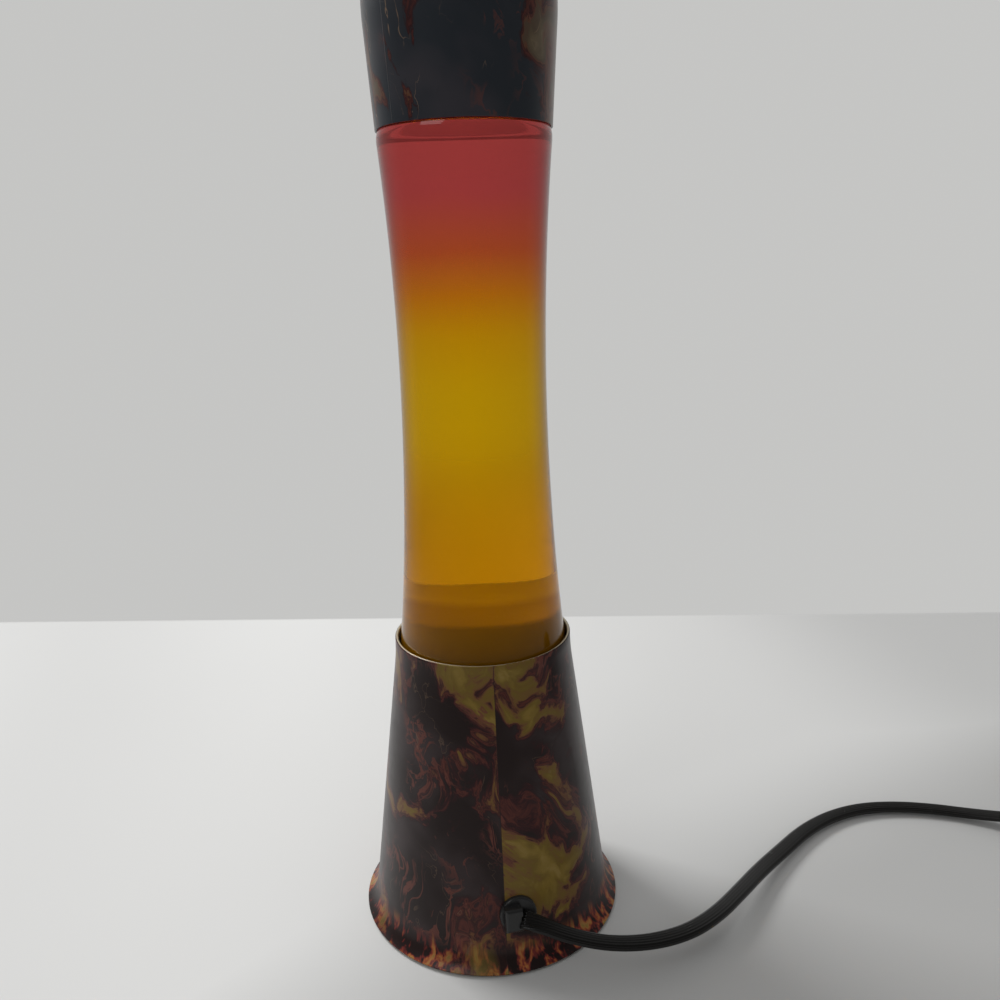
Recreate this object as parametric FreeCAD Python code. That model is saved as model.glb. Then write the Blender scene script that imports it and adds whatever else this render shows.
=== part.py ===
import FreeCAD, Part
import math
import os

# Liquid motion lamp, in millimetres. +Z is up, the origin is at the middle of the foot, and the
# supply lead leaves the base towards -Y.
os.makedirs("parts", exist_ok=True)
Vec = FreeCAD.Vector
UP = Vec(0, 0, 1)
AXIS_FOOT = Vec(0, 0, 0)

# Base shell, a spun cone with a flared foot and a rolled rim
foot_radius = 55.0
rim_radius = 36.05
rim_height = 123.4
shell_wall = 0.9
flare_height = 9.5
flare_reach = 4.88
edge_rise = 1.0
collar_rise = 11.25
rim_lip = 1.3
rim_lip_depth = 2.8
flare_edge = 0.4
hem_width = 12.0

# Foot ring and bottom plate
ring_height = 2.6
ring_inset = 0.3
plate_thickness = 1.2
plate_inset = 5.8
plate_gap = 0.3
vent_count = 12
vent_radius = 3.5
vent_circle = 35.5
plate_screw_count = 3
screw_radius = 1.5
screw_head_radius = 2.8
screw_head_height = 0.9
plate_screw_length = 7.0
hole_clearance = 0.15

# Seat for the globe, pressed up into the cone
seat_wall = 0.8
seat_hole_radius = 21.0
seat_lip_depth = 3.0
seat_skirt = 10.0
seat_bend = 1.6

# Blown globe, its heights counted from its foot
globe_over_bulb = 5.9
glass_wall = 2.0
heel_radius = 34.2
heel_round = 9.0
heel_rise = 20.3
punt_radius = 22.5
punt_rise = 3.0
lower_blend = 60.0
waist_radius = 28.1
waist_rise = 134.4
shoulder_radius = 31.7
shoulder_rise = 217.8
shoulder_round = 10.0
shoulder_angle = 50.0
neck_radius = 12.6
neck_round = 6.0
neck_length = 14.0
finish_bead = 0.7
finish_height = 3.0

# What the globe holds
fluid_gap = 0.1
wax_depth = 43.0
liquid_rise = 2.7
heater_radius = 24.0
heater_wire = 1.4
heater_turns = 3
heater_pitch = 2.2
heater_gap = 0.5

# Crown closure
crown_wall = 0.35
crown_height = 6.0
crown_flare = 2.4
crown_corner = 1.2
crown_gap = 0.15
crown_flutes = 21
flute_depth = 0.45
liner_thickness = 0.8

# Top cap
cap_edge_rise = 3.5
cap_edge_radius = 31.9
cap_wall = 0.6
cap_seat_gap = 0.2
cap_hem_height = 2.0
cap_cone_height = 34.2
cap_cone_angle = 3.5
cap_turn_radius = 90.0
cap_dome_height = 50.0

# Socket on its bracket
bracket_width = 14.0
bracket_wall = 1.2
bracket_half_span = 14.5
bracket_foot = 12.0
bracket_rise = 11.4
bracket_bend = 1.0
nipple_radius = 4.8
nipple_bore = 3.2
nipple_length = 9.0
nut_height = 2.4
nut_across = 14.0
bracket_nut_height = 2.2
bracket_nut_across = 5.5
socket_radius = 12.5
socket_base_radius = 9.0
socket_length = 34.0
socket_base_length = 4.0
socket_floor = 13.0
socket_flare = 3.0
socket_flat = 10.0
socket_pocket_radius = 6.0
thread_wall = 0.35
thread_depth = 0.35
thread_pitch = 2.9
thread_turns = 5
thread_gap = 0.25
contact_thickness = 0.4
contact_rise = 3.0
terminal_radius = 3.0
terminal_height = 2.2
terminal_spread = 6.2

# Bulb
bulb_cap_radius = 8.3
bulb_length = 59.0
bulb_cap_length = 16.0
bulb_radius = 17.4
bulb_dome_height = 19.0
bulb_wall = 0.7
bulb_tip_radius = 2.6
bulb_tip_height = 1.2
bulb_insulator_height = 3.4
bulb_contact_gap = 0.1
stem_radius = 2.8
stem_length = 14.0
filament_height = 24.0
filament_half_span = 6.0
filament_wire = 0.6

# Right-angled strain relief in the side of the cone
relief_height = 23.2
relief_hole = 12.6
relief_flange = 14.8
relief_flange_height = 1.8
relief_neck_gap = 0.15
relief_neck_depth = 8.0
relief_block_side = 9.4
relief_block_reach = 3.8
relief_block_back = 6.0
relief_block_front = 0.8
relief_block_round = 1.3
relief_lead_gap = 0.1

# Supply lead: the flat two-core lead is 7.1 by 3.6 mm, drawn as a round tube of the same section
lead_size = 5.4
core_size = 2.6
core_spread = 1.35
inner_lead_length = 10.0

# Put-away coil of the lead
coil_x = 374.5
coil_y = -60.0
coil_outer = 46.0
coil_pitch = 6.1
coil_layer_rise = 7.4
coil_half_turns = 11
coil_start_angle = -101.0
tie_wall = 0.9
tie_width = 7.0
tie_gap = 0.4
tie_angle = -4.0

# Switch on the lead
switch_length = 58.0
switch_width = 25.0
switch_height = 18.0
switch_end_width = 10.0
switch_shoulder = 17.0
switch_wall = 2.2
switch_round = 2.0
wheel_radius = 9.5
wheel_thickness = 5.0
wheel_proud = 3.0
wheel_gap = 0.4
wheel_teeth = 24
wheel_pin_radius = 1.7
wheel_bore_gap = 0.08
wheel_boss_radius = 3.4
switch_screw_radius = 1.1
switch_screw_head = 2.2
switch_screw_inset = 13.5
cam_height = 2.0
cam_gap = 0.4
contact_strip = 0.5

# Plug
plug_taper_length = 16.0
plug_body_length = 26.0
plug_width = 23.0
plug_thickness = 14.5
plug_entry_size = 9.0
plug_round = 2.0
blade_length = 17.5
blade_embed = 8.0
blade_thickness = 1.5
blade_spacing = 12.7
blade_narrow = 6.35
blade_wide = 7.94
blade_hole_radius = 1.55
blade_hole_inset = 4.5

# Route of the lead from the strain relief to the switch, and on to the coil and the plug
RUN_POINTS = [
    (0.8, -52.1, 23.3), (7.5, -55.3, 22.8), (17.5, -61.2, 21.4), (31.0, -66.5, 18.9),
    (48.0, -68.0, 15.8), (65.6, -64.6, 12.8), (82.0, -56.0, 10.0), (98.0, -44.0, 7.8),
    (115.5, -30.0, 5.7), (133.0, -17.5, 4.4), (151.0, -7.0, 3.6), (170.0, 0.0, 2.9),
    (188.5, 2.0, 2.8), (206.0, -1.5, 2.8), (221.5, -8.0, 2.8), (235.0, -16.5, 3.2),
    (246.0, -27.0, 6.0), (256.0, -36.5, 9.0), (264.1, -42.4, 9.0),
]
LINK_FIRST_RUN = 10.0
LINK_POINTS = [(328.4, -88.5, 7.4), (337.9, -95.6, 5.2)]
LINK_LAST_RUN = 11.0
TAIL_FIRST_RUN = 9.0
TAIL_POINTS = [(358.2, -10.2, 10.0), (347.6, -9.4, 8.0), (337.5, -8.6, 8.0)]


# Drawing helpers

def line(a, b):
    return Part.LineSegment(Vec(*a), Vec(*b)).toShape()


def side(radius, height):
    """A point of a turned outline, in the XZ plane."""
    return (radius, 0.0, height)


def arc_through(a, middle, b):
    return Part.Arc(Vec(*a), Vec(*middle), Vec(*b)).toShape()


def arc_middle(start, heading, end):
    """The middle point of the arc that leaves start along heading and ends at end."""
    chord = end - start
    along = Vec(chord).normalize()
    sideways = heading - along * heading.dot(along)
    if sideways.Length < 1e-9:
        return None
    turn = heading.getAngle(chord)
    return (start + end) * 0.5 + sideways.normalize() * (chord.Length / 2 * math.tan(turn / 2))


def tangent_arc(start, heading, end):
    """The edge that leaves start along heading and ends at end."""
    a, b = Vec(*start), Vec(*end)
    middle = arc_middle(a, Vec(*heading).normalize(), b)
    if middle is None:
        return Part.LineSegment(a, b).toShape()
    return Part.Arc(a, middle, b).toShape()


def centred_arc(centre, radius, from_degrees, to_degrees):
    """An arc of a turned outline, by its centre and its angles."""
    def at(degrees):
        angle = math.radians(degrees)
        return side(centre[0] + radius * math.cos(angle), centre[1] + radius * math.sin(angle))
    return arc_through(at(from_degrees), at((from_degrees + to_degrees) / 2), at(to_degrees))


def turned(edges):
    """The solid of a closed outline turned about the lamp's axis."""
    face = Part.Face(Part.Wire(Part.__sortEdges__(edges)))
    return face.revolve(AXIS_FOOT, UP, 360)


def outline(points):
    """Straight edges through points of a turned outline, closed."""
    corners = [side(*p) for p in points]
    return [line(a, b) for a, b in zip(corners, corners[1:] + corners[:1])]


def cylinder(radius, height, at=(0, 0, 0), along=UP):
    return Part.makeCylinder(radius, height, Vec(*at), along)


def ring(outer, inner, low, high):
    return cylinder(outer, high - low, (0, 0, low)).cut(cylinder(inner, high - low, (0, 0, low)))


def hexagon(across, height, at):
    corner = across / 2 / math.cos(math.pi / 6)
    points = [Vec(at[0] + corner * math.cos(k * math.pi / 3), at[1] + corner * math.sin(k * math.pi / 3), at[2])
              for k in range(7)]
    return Part.Face(Part.makePolygon(points)).extrude(Vec(0, 0, height))


def around(count, first_degrees=0.0):
    """Angles of a ring of repeated pieces."""
    return [first_degrees + 360.0 * k / count for k in range(count)]


def on_circle(radius, degrees, height=0.0):
    angle = math.radians(degrees)
    return (radius * math.cos(angle), radius * math.sin(angle), height)


def save(name, shape):
    shape.exportStep("parts/" + name + ".step")


def save_group(name, shapes):
    save(name, Part.makeCompound(shapes))


# Lead helpers

def tube(points, size, label):
    """A round tube along straight runs joined by arcs as large as the runs allow."""
    route = [Vec(*p) for p in points]
    edges, start, tightest = [], route[0], None
    for before, corner, after in zip(route, route[1:], route[2:]):
        back, ahead = (before - corner), (after - corner)
        cut = 0.45 * min(back.Length, ahead.Length)
        turn = math.pi - back.getAngle(ahead)
        radius = cut / math.tan(turn / 2)
        tightest = radius if tightest is None else min(tightest, radius)
        into = corner + Vec(back).normalize() * cut
        out = corner + Vec(ahead).normalize() * cut
        middle = arc_middle(into, (corner - before).normalize(), out)
        edges += [Part.LineSegment(start, into).toShape(), Part.Arc(into, middle, out).toShape()]
        start = out
    edges.append(Part.LineSegment(start, route[-1]).toShape())
    path = Part.Wire(edges)
    solid = sweep(path, route[0], route[1] - route[0], size)
    section = math.pi * size * size / 4
    print(label, "tightest radius", round(tightest, 1), "length", round(path.Length, 1),
          "volume over section times length", round(solid.Volume / (section * path.Length), 4))
    return solid


def sweep(path, start, heading, size):
    circle = Part.Wire(Part.Circle(start, heading, size / 2).toShape())
    solid = path.makePipeShell([circle], True, False)
    return solid if solid.Volume > 0 else solid.reversed()


def biarc(start, heading, end, end_heading):
    """Two arcs that leave start along heading and reach end along end_heading."""
    span = end - start
    both = heading + end_heading
    square = 2 * (1 - heading.dot(end_heading))
    along = span.dot(both)
    if square < 1e-9:
        reach = span.dot(span) / (4 * span.dot(end_heading))
    else:
        reach = (math.sqrt(along * along + square * span.dot(span)) - along) / square
    joint = (start + heading * reach + end - end_heading * reach) * 0.5
    first = Part.Arc(start, arc_middle(start, heading, joint), joint).toShape()
    second = Part.Arc(joint, arc_middle(end, end_heading * -1, joint), end).toShape()
    return [first, second]


def least_gap(edges, size, own_length):
    """The least gap between a wound tube and itself, measured on points along its line."""
    path = Part.Wire(edges)
    count = 600
    places = path.discretize(count)
    skip = int(own_length / (path.Length / (count - 1)))
    nearest = min(a.distanceToPoint(b) for i, a in enumerate(places) for b in places[i + skip:])
    return nearest - size


def wound(places, headings, size, label):
    """One unbroken wound tube through places, a half turn apart, with its ends straight for one size."""
    edges = []
    for k in range(len(places) - 1):
        edges += biarc(places[k], headings[k], places[k + 1], headings[k + 1])
    first = places[0] - headings[0] * size
    last = places[-1] + headings[-1] * size
    edges = [Part.LineSegment(first, places[0]).toShape()] + edges
    edges.append(Part.LineSegment(places[-1], last).toShape())
    path = Part.Wire(edges)
    solid = sweep(path, first, headings[0], size)
    section = math.pi * size * size / 4
    print(label, "least gap to itself", round(least_gap(edges, size, 4 * size), 2),
          "length", round(path.Length, 1),
          "volume over section times length", round(solid.Volume / (section * path.Length), 4))
    return solid


# Base: shell, foot ring, bottom plate and its screws

def cone_half_angle():
    """The cone's half angle, where the collar arc rises from the cone to the upright rim."""
    angle = 0.1
    for _ in range(40):
        top = rim_radius + collar_rise * math.tan(angle / 2)
        angle = math.atan((flare_radius - top) / (collar_top - collar_rise - flare_height))
    return angle


flare_radius = foot_radius - flare_reach
plate_radius = foot_radius - plate_inset
collar_top = rim_height - rim_lip / 2
cone_angle = cone_half_angle()
cone_top_height = collar_top - collar_rise
cone_top_radius = rim_radius + collar_rise * math.tan(cone_angle / 2)
cone_wall = shell_wall / math.cos(cone_angle)
hem_radius = foot_radius - hem_width
plate_screw_circle = (hem_radius + plate_radius) / 2


def cone_radius(height):
    return flare_radius - (height - flare_height) * math.tan(cone_angle)


def flare_circle():
    """Centre and radius of the hollow arc that leaves the cone and ends at the foot's upright edge."""
    run, drop = foot_radius - flare_radius, flare_height - edge_rise - flare_edge
    radius = (run ** 2 + drop ** 2) / 2 / (run * math.cos(cone_angle) - drop * math.sin(cone_angle))
    return (flare_radius + radius * math.cos(cone_angle), flare_height + radius * math.sin(cone_angle)), radius


flare_centre, flare_arc = flare_circle()


def flare_side(height, depth):
    """Radius of the flared sheet at a height, a depth of metal under its outer side."""
    return flare_centre[0] - math.sqrt((flare_arc + depth) ** 2 - (flare_centre[1] - height) ** 2)


def shell_outside():
    """The outer side of the base, from the foot's edge up to the rim."""
    down = (math.sin(cone_angle), 0, -math.cos(cone_angle))
    up = (-math.sin(cone_angle), 0, math.cos(cone_angle))
    return [line(side(foot_radius, edge_rise), side(foot_radius, edge_rise + flare_edge)),
            tangent_arc(side(flare_radius, flare_height), down, side(foot_radius, edge_rise + flare_edge)),
            line(side(flare_radius, flare_height), side(cone_top_radius, cone_top_height)),
            tangent_arc(side(cone_top_radius, cone_top_height), up, side(rim_radius, collar_top))]


def base_shell():
    up = (-math.sin(cone_angle), 0, math.cos(cone_angle))
    collar_radius = collar_rise / math.sin(cone_angle)
    lip_low = collar_top - rim_lip_depth
    lip_wall = rim_radius - shell_wall + collar_radius - math.sqrt(collar_radius ** 2 - rim_lip_depth ** 2)
    lip_inside = rim_radius - rim_lip
    inner_top = side(cone_top_radius - cone_wall, cone_top_height)
    flare_turn = 180 + math.degrees(cone_angle)
    inner_flare = side(flare_radius - shell_wall * math.cos(cone_angle),
                       flare_height - shell_wall * math.sin(cone_angle))
    inner_edge = flare_side(edge_rise, shell_wall)
    edge_turn = 180 + math.degrees(math.atan2(flare_centre[1] - edge_rise, flare_centre[0] - inner_edge))
    edges = shell_outside() + [
        arc_through(side(rim_radius, collar_top), side(rim_radius - rim_lip / 2, rim_height),
                    side(lip_inside, collar_top)),
        line(side(lip_inside, collar_top), side(lip_inside, lip_low)),
        line(side(lip_inside, lip_low), side(lip_wall, lip_low)),
        tangent_arc(inner_top, up, side(lip_wall, lip_low)),
        line(inner_top, inner_flare),
        centred_arc(flare_centre, flare_arc + shell_wall, flare_turn, edge_turn),
        line(side(inner_edge, edge_rise), side(foot_radius, edge_rise))]
    hem_outside = flare_side(ring_height + shell_wall / 2, shell_wall / 2)
    hem = ring(hem_outside, hem_radius, ring_height, ring_height + shell_wall)
    shell = turned(edges).fuse(hem).removeSplitter()
    shell = shell.cut(relief_cylinder(relief_hole / 2, -relief_flange, relief_flange))
    return shell.cut(Part.makeCompound(plate_screw_holes()))


def plate_screw_holes():
    return [cylinder(screw_radius + hole_clearance, 3 * ring_height, on_circle(plate_screw_circle, a, 0))
            for a in around(plate_screw_count, 90)]


def foot_ring():
    outer = flare_side(edge_rise, shell_wall) - ring_inset
    outer_top = flare_side(ring_height, shell_wall) - ring_inset
    inner = plate_radius + plate_gap
    corner = edge_rise / 2
    edges = [line(side(inner, 0), side(outer - corner, 0)),
             centred_arc((outer - corner, corner), corner, -90, 0),
             line(side(outer, corner), side(outer, edge_rise)),
             line(side(outer, edge_rise), side(outer_top, ring_height)),
             line(side(outer_top, ring_height), side(inner, ring_height)),
             line(side(inner, ring_height), side(inner, 0))]
    return turned(edges)


plate_low = ring_height - plate_thickness


def bottom_plate():
    plate = cylinder(plate_radius, plate_thickness, (0, 0, plate_low))
    vents = [cylinder(vent_radius, 3 * plate_thickness, on_circle(vent_circle, a, 0))
             for a in around(vent_count, 15)]
    bracket_holes = [cylinder(screw_radius + hole_clearance, 3 * ring_height, (x, 0, 0))
                     for x in bracket_screw_places()]
    return plate.cut(Part.makeCompound(vents + plate_screw_holes() + bracket_holes))


def pan_screw(x, y, length):
    """A screw put in from below, its head under the bottom plate."""
    head = cylinder(screw_head_radius, screw_head_height, (x, y, plate_low - screw_head_height))
    rim = [e for e in head.Edges if abs(e.CenterOfMass.z - (plate_low - screw_head_height)) < 1e-6
           and isinstance(e.Curve, Part.Circle)]
    head = head.makeFillet(screw_head_height * 0.6, rim)
    return head.fuse(cylinder(screw_radius, length, (x, y, plate_low))).removeSplitter()


def plate_screws():
    places = [on_circle(plate_screw_circle, a) for a in around(plate_screw_count, 90)]
    return [pan_screw(x, y, plate_screw_length) for x, y, _ in places]


# Bracket, nipple and their fasteners

def bracket_screw_places():
    reach = bracket_half_span + bracket_foot * 0.55
    return [-reach, reach]


bracket_top = ring_height + bracket_rise


def socket_bracket():
    low, top, wall = ring_height, bracket_top, bracket_wall
    leg, toe = bracket_half_span, bracket_half_span + bracket_foot
    corners = [(toe, low), (toe, low + wall), (leg, low + wall), (leg, top),
               (-leg, top), (-leg, low + wall), (-toe, low + wall), (-toe, low),
               (wall - leg, low), (wall - leg, top - wall), (leg - wall, top - wall), (leg - wall, low)]
    points = [Vec(x, -bracket_width / 2, z) for x, z in corners]
    strap = Part.Face(Part.makePolygon(points + points[:1])).extrude(Vec(0, bracket_width, 0))

    def bends(places):
        return [e for e in strap.Edges if abs(e.Length - bracket_width) < 1e-6 and any(
            abs(abs(e.CenterOfMass.x) - x) < 1e-6 and abs(e.CenterOfMass.z - z) < 1e-6 for x, z in places)]

    tight = bends([(leg, low + wall), (leg - wall, top - wall)])
    wide = bends([(leg, top), (leg - wall, low)])
    strap = strap.makeFillet(bracket_bend, tight)
    wide = bends([(leg, top), (leg - wall, low)])
    strap = strap.makeFillet(bracket_bend + wall, wide)
    holes = [cylinder(screw_radius + hole_clearance, 3 * ring_height, (x, 0, 0))
             for x in bracket_screw_places()]
    holes.append(cylinder(nipple_radius + hole_clearance, bracket_rise, (0, 0, bracket_top - bracket_rise / 2)))
    return strap.cut(Part.makeCompound(holes))


def bracket_screws():
    length = plate_thickness + bracket_wall + bracket_nut_height + 1.0
    return [pan_screw(x, 0, length) for x in bracket_screw_places()]


def bracket_nuts():
    low = ring_height + bracket_wall
    return [hexagon(bracket_nut_across, bracket_nut_height, (x, 0, low)).cut(
        cylinder(screw_radius + hole_clearance, 3 * bracket_nut_height, (x, 0, low - bracket_nut_height)))
        for x in bracket_screw_places()]


nipple_low = bracket_top - bracket_wall - nut_height - 0.4


def threaded_nipple():
    return ring(nipple_radius, nipple_bore, nipple_low, nipple_low + nipple_length)


def nipple_nut():
    low = bracket_top - bracket_wall - nut_height
    return hexagon(nut_across, nut_height, (0, 0, low)).cut(
        cylinder(nipple_radius + hole_clearance, 3 * nut_height, (0, 0, low - nut_height)))


# Lamp socket and the bulb in it

socket_low = bracket_top
socket_top = socket_low + socket_length
contact_low = socket_low + socket_floor
bulb_low = contact_low + contact_rise + bulb_contact_gap
bulb_cap_low = bulb_low + bulb_tip_height + bulb_insulator_height
bulb_cap_top = bulb_cap_low + bulb_cap_length
bulb_top = bulb_low + bulb_length
thread_middle = bulb_cap_radius - thread_depth / 2
thread_low = bulb_cap_low + 0.5
shell_thread_low = thread_low - thread_pitch
shell_thread_top = shell_thread_low + thread_turns * thread_pitch
socket_step = shell_thread_low - 0.7
shell_outer = thread_middle + thread_gap + thread_wall
socket_bore = shell_outer + thread_depth / 2 + 0.1


def wave(radius, low, turns):
    """The side of a rolled round thread, as rings."""
    edges = []
    for k in range(turns):
        z = low + k * thread_pitch
        quarter = thread_pitch / 4
        swing = thread_depth / 2
        edges.append(arc_through(side(radius, z), side(radius - swing, z + quarter), side(radius, z + 2 * quarter)))
        edges.append(arc_through(side(radius, z + 2 * quarter), side(radius + swing, z + 3 * quarter),
                                 side(radius, z + 4 * quarter)))
    return edges


def socket_body():
    outer = [(0, socket_low), (socket_base_radius, socket_low),
             (socket_base_radius, socket_low + socket_base_length),
             (socket_radius, socket_low + socket_base_length + socket_flare),
             (socket_radius, socket_top), (0, socket_top)]
    body = turned(outline(outer))
    body = body.cut(cylinder(socket_bore, socket_top, (0, 0, socket_step)))
    body = body.cut(cylinder(socket_pocket_radius, socket_top, (0, 0, contact_low)))
    body = body.cut(cylinder(nipple_radius + hole_clearance, 2 * (nipple_low + nipple_length - socket_low),
                             (0, 0, 2 * socket_low - nipple_low - nipple_length)))
    flat_height = contact_low - socket_low - socket_base_length
    flat = Part.makeBox(2 * socket_radius, socket_radius, flat_height,
                        Vec(-socket_radius, -socket_flat - socket_radius, socket_low + socket_base_length - 0.5))
    return body.cut(flat)


def socket_shell():
    inner = thread_middle + thread_gap
    outer = inner + thread_wall
    flange_inner = socket_pocket_radius - 0.4
    edges = wave(inner, shell_thread_low, thread_turns) + wave(outer, shell_thread_low, thread_turns)
    edges += [line(side(inner, shell_thread_top), side(outer, shell_thread_top)),
              line(side(outer, shell_thread_low), side(outer, socket_step)),
              line(side(outer, socket_step), side(flange_inner, socket_step)),
              line(side(flange_inner, socket_step), side(flange_inner, socket_step + thread_wall)),
              line(side(flange_inner, socket_step + thread_wall), side(inner, socket_step + thread_wall)),
              line(side(inner, socket_step + thread_wall), side(inner, shell_thread_low))]
    return turned(edges)


def socket_contact():
    """A springy strip on the pocket's floor, bent up to meet the bulb's tip."""
    half, low = socket_pocket_radius - 1.0, contact_low
    top = low + contact_rise
    lower = [(-half, low), (0.4 * half, low), (half * 0.9, low + contact_rise * 0.5),
             (half * 0.3, top), (-half * 0.5, top)]
    edges = [line((a[0], 0, a[1]), (b[0], 0, b[1])) for a, b in zip(lower, lower[1:])]
    spine = Part.Wire(edges)
    width = 2.4
    section = Part.makePolygon([Vec(-half, -width / 2, low), Vec(-half, width / 2, low),
                                Vec(-half, width / 2, low + contact_thickness),
                                Vec(-half, -width / 2, low + contact_thickness), Vec(-half, -width / 2, low)])
    strip = spine.makePipeShell([section], True, False, 1)
    return strip if strip.Volume > 0 else strip.reversed()


terminal_z = socket_low + socket_base_length + terminal_radius + 1.0


def terminal_screws():
    screws = []
    for x in (-terminal_spread, terminal_spread):
        head = cylinder(terminal_radius, terminal_height, (x, -socket_flat - terminal_height, terminal_z), Vec(0, 1, 0))
        slot = Part.makeBox(3 * terminal_radius, 0.6, 0.8,
                            Vec(x - 1.5 * terminal_radius, -socket_flat - terminal_height, terminal_z + core_size / 2 + 0.1))
        screws.append(head.cut(slot))
    return screws


def bulb_side(radius_neck, radius_wide, low, high):
    """The swelling side of the bulb, from the upright neck to its widest place."""
    middle = side((radius_neck + radius_wide) / 2, (low + high) / 2)
    return [tangent_arc(side(radius_neck, low), (0, 0, 1), middle),
            tangent_arc(side(radius_wide, high), (0, 0, -1), middle)]


def dome(radius, height, low):
    """A quarter ellipse from the axis, at the top, down to the side."""
    curve = Part.Ellipse(Vec(0, 0, low + height), Vec(radius, 0, low), Vec(0, 0, low))
    if height < radius:
        curve = Part.Ellipse(Vec(radius, 0, low), Vec(0, 0, low + height), Vec(0, 0, low))
    return Part.ArcOfEllipse(curve, 0, math.pi / 2).toShape()


bulb_neck = thread_middle - thread_depth / 2 - thread_wall
bulb_glass_low = bulb_cap_top - 3.0
bulb_side_low = bulb_cap_top + 1.0
bulb_wide_height = bulb_top - bulb_dome_height


def bulb_glass():
    def filled(inset, low):
        edges = bulb_side(bulb_neck - inset, bulb_radius - inset, bulb_side_low, bulb_wide_height)
        edges += [dome(bulb_radius - inset, bulb_dome_height - inset, bulb_wide_height),
                  line(side(bulb_neck - inset, bulb_side_low), side(bulb_neck - inset, low)),
                  line(side(bulb_neck - inset, low), side(0, low)),
                  line(side(0, low), side(0, bulb_top - inset))]
        return turned(edges)
    return filled(0, bulb_glass_low).cut(filled(bulb_wall, bulb_glass_low + bulb_wall))


def bulb_cap():
    inner = thread_middle - thread_wall
    top = thread_low + thread_turns * thread_pitch
    edges = wave(thread_middle, thread_low, thread_turns) + wave(inner, thread_low, thread_turns)
    edges += [line(side(thread_middle, thread_low), side(thread_middle, bulb_cap_low)),
              line(side(thread_middle, bulb_cap_low), side(inner, bulb_cap_low)),
              line(side(inner, bulb_cap_low), side(inner, thread_low)),
              line(side(thread_middle, top), side(thread_middle, bulb_cap_top)),
              line(side(thread_middle, bulb_cap_top), side(inner, bulb_cap_top)),
              line(side(inner, bulb_cap_top), side(inner, top))]
    return turned(edges)


def bulb_insulator():
    low = bulb_low + bulb_tip_height
    inner = thread_middle - thread_wall
    points = [(0, low), (bulb_tip_radius + 0.6, low), (inner + thread_wall, bulb_cap_low),
              (inner, bulb_cap_low), (inner, bulb_cap_low + 0.4), (0, bulb_cap_low + 0.4)]
    return turned(outline(points))


def bulb_contact():
    tip = cylinder(bulb_tip_radius, bulb_tip_height, (0, 0, bulb_low))
    rim = [e for e in tip.Edges if abs(e.CenterOfMass.z - bulb_low) < 1e-6 and isinstance(e.Curve, Part.Circle)]
    return tip.makeFillet(bulb_tip_height * 0.7, rim)


def bulb_stem():
    low = bulb_glass_low + bulb_wall
    return Part.makeCone(stem_radius * 1.5, stem_radius * 0.6, stem_length, Vec(0, 0, low))


filament_z = bulb_glass_low + filament_height
stem_top = bulb_glass_low + bulb_wall + stem_length


def bulb_supports():
    """Two wires that stand on the stem and carry the filament's ends."""
    wires = []
    for way in (-1, 1):
        foot = Vec(way * stem_radius * 0.35, 0, stem_top)
        tip = Vec(way * filament_half_span, 0, filament_z)
        wires.append(Part.makeCylinder(filament_wire * 0.6, (tip - foot).Length, foot, tip - foot))
    return wires


def bulb_filament():
    a, b = Vec(-filament_half_span, 0, filament_z), Vec(filament_half_span, 0, filament_z)
    path = Part.Wire(Part.Arc(a, Vec(0, 0, filament_z + filament_half_span * 0.5), b).toShape())
    heading = path.Edges[0].tangentAt(path.Edges[0].FirstParameter)
    return sweep(path, a, heading, filament_wire)


# Seat for the globe

def globe_seat():
    top, bottom = globe_foot_height, globe_foot_height - seat_skirt
    slope = math.tan(cone_angle)
    outer_top = cone_radius(top) - cone_wall
    outer_low = cone_radius(bottom) - cone_wall
    wall = seat_wall / math.cos(cone_angle)
    bend = seat_bend
    edges = [line(side(seat_hole_radius, top), side(outer_top - bend, top)),
             tangent_arc(side(outer_top - bend, top), (1, 0, 0), side(outer_top + bend * slope, top - bend)),
             line(side(outer_top + bend * slope, top - bend), side(outer_low, bottom)),
             line(side(outer_low, bottom), side(outer_low - wall, bottom)),
             line(side(outer_low - wall, bottom), side(outer_top + bend * slope - wall, top - bend)),
             line(side(outer_top + bend * slope - wall, top - bend), side(outer_top - bend, top - seat_wall)),
             line(side(outer_top - bend, top - seat_wall), side(seat_hole_radius + seat_wall, top - seat_wall)),
             line(side(seat_hole_radius + seat_wall, top - seat_wall),
                  side(seat_hole_radius + seat_wall, top - seat_lip_depth)),
             line(side(seat_hole_radius + seat_wall, top - seat_lip_depth),
                  side(seat_hole_radius, top - seat_lip_depth)),
             line(side(seat_hole_radius, top - seat_lip_depth), side(seat_hole_radius, top))]
    return turned(edges)


# Globe and what it holds

globe_foot_height = bulb_top + globe_over_bulb
waist_height = globe_foot_height + waist_rise
shoulder_height = globe_foot_height + shoulder_rise
blend_centre = (heel_radius - lower_blend, globe_foot_height + heel_rise)
shoulder_centre = (shoulder_radius - shoulder_round, shoulder_height)


def flank_radius(round_centre, round_radius):
    """The radius of the hollow flank that is upright at the waist and meets a round."""
    across, rise = waist_radius - round_centre[0], waist_height - round_centre[1]
    return (across ** 2 + rise ** 2 - round_radius ** 2) / (2 * (round_radius - across))


def between(centre, other, reach):
    """The point at reach from centre on the way to other."""
    dx, dz = other[0] - centre[0], other[1] - centre[1]
    length = math.hypot(dx, dz)
    return (centre[0] + dx * reach / length, centre[1] + dz * reach / length)


lean = math.radians(shoulder_angle)
shoulder_normal = (math.cos(lean), math.sin(lean))


def neck_start():
    """The centre of the round between the shoulder's straight flank and the neck."""
    x = shoulder_centre[0] + shoulder_round * shoulder_normal[0]
    z = shoulder_centre[1] + shoulder_round * shoulder_normal[1]
    across = neck_radius + neck_round
    rise = (neck_round - (across - x) * shoulder_normal[0]) / shoulder_normal[1]
    return (across, z + rise)


neck_centre = neck_start()
neck_top = neck_centre[1] + neck_length


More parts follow.
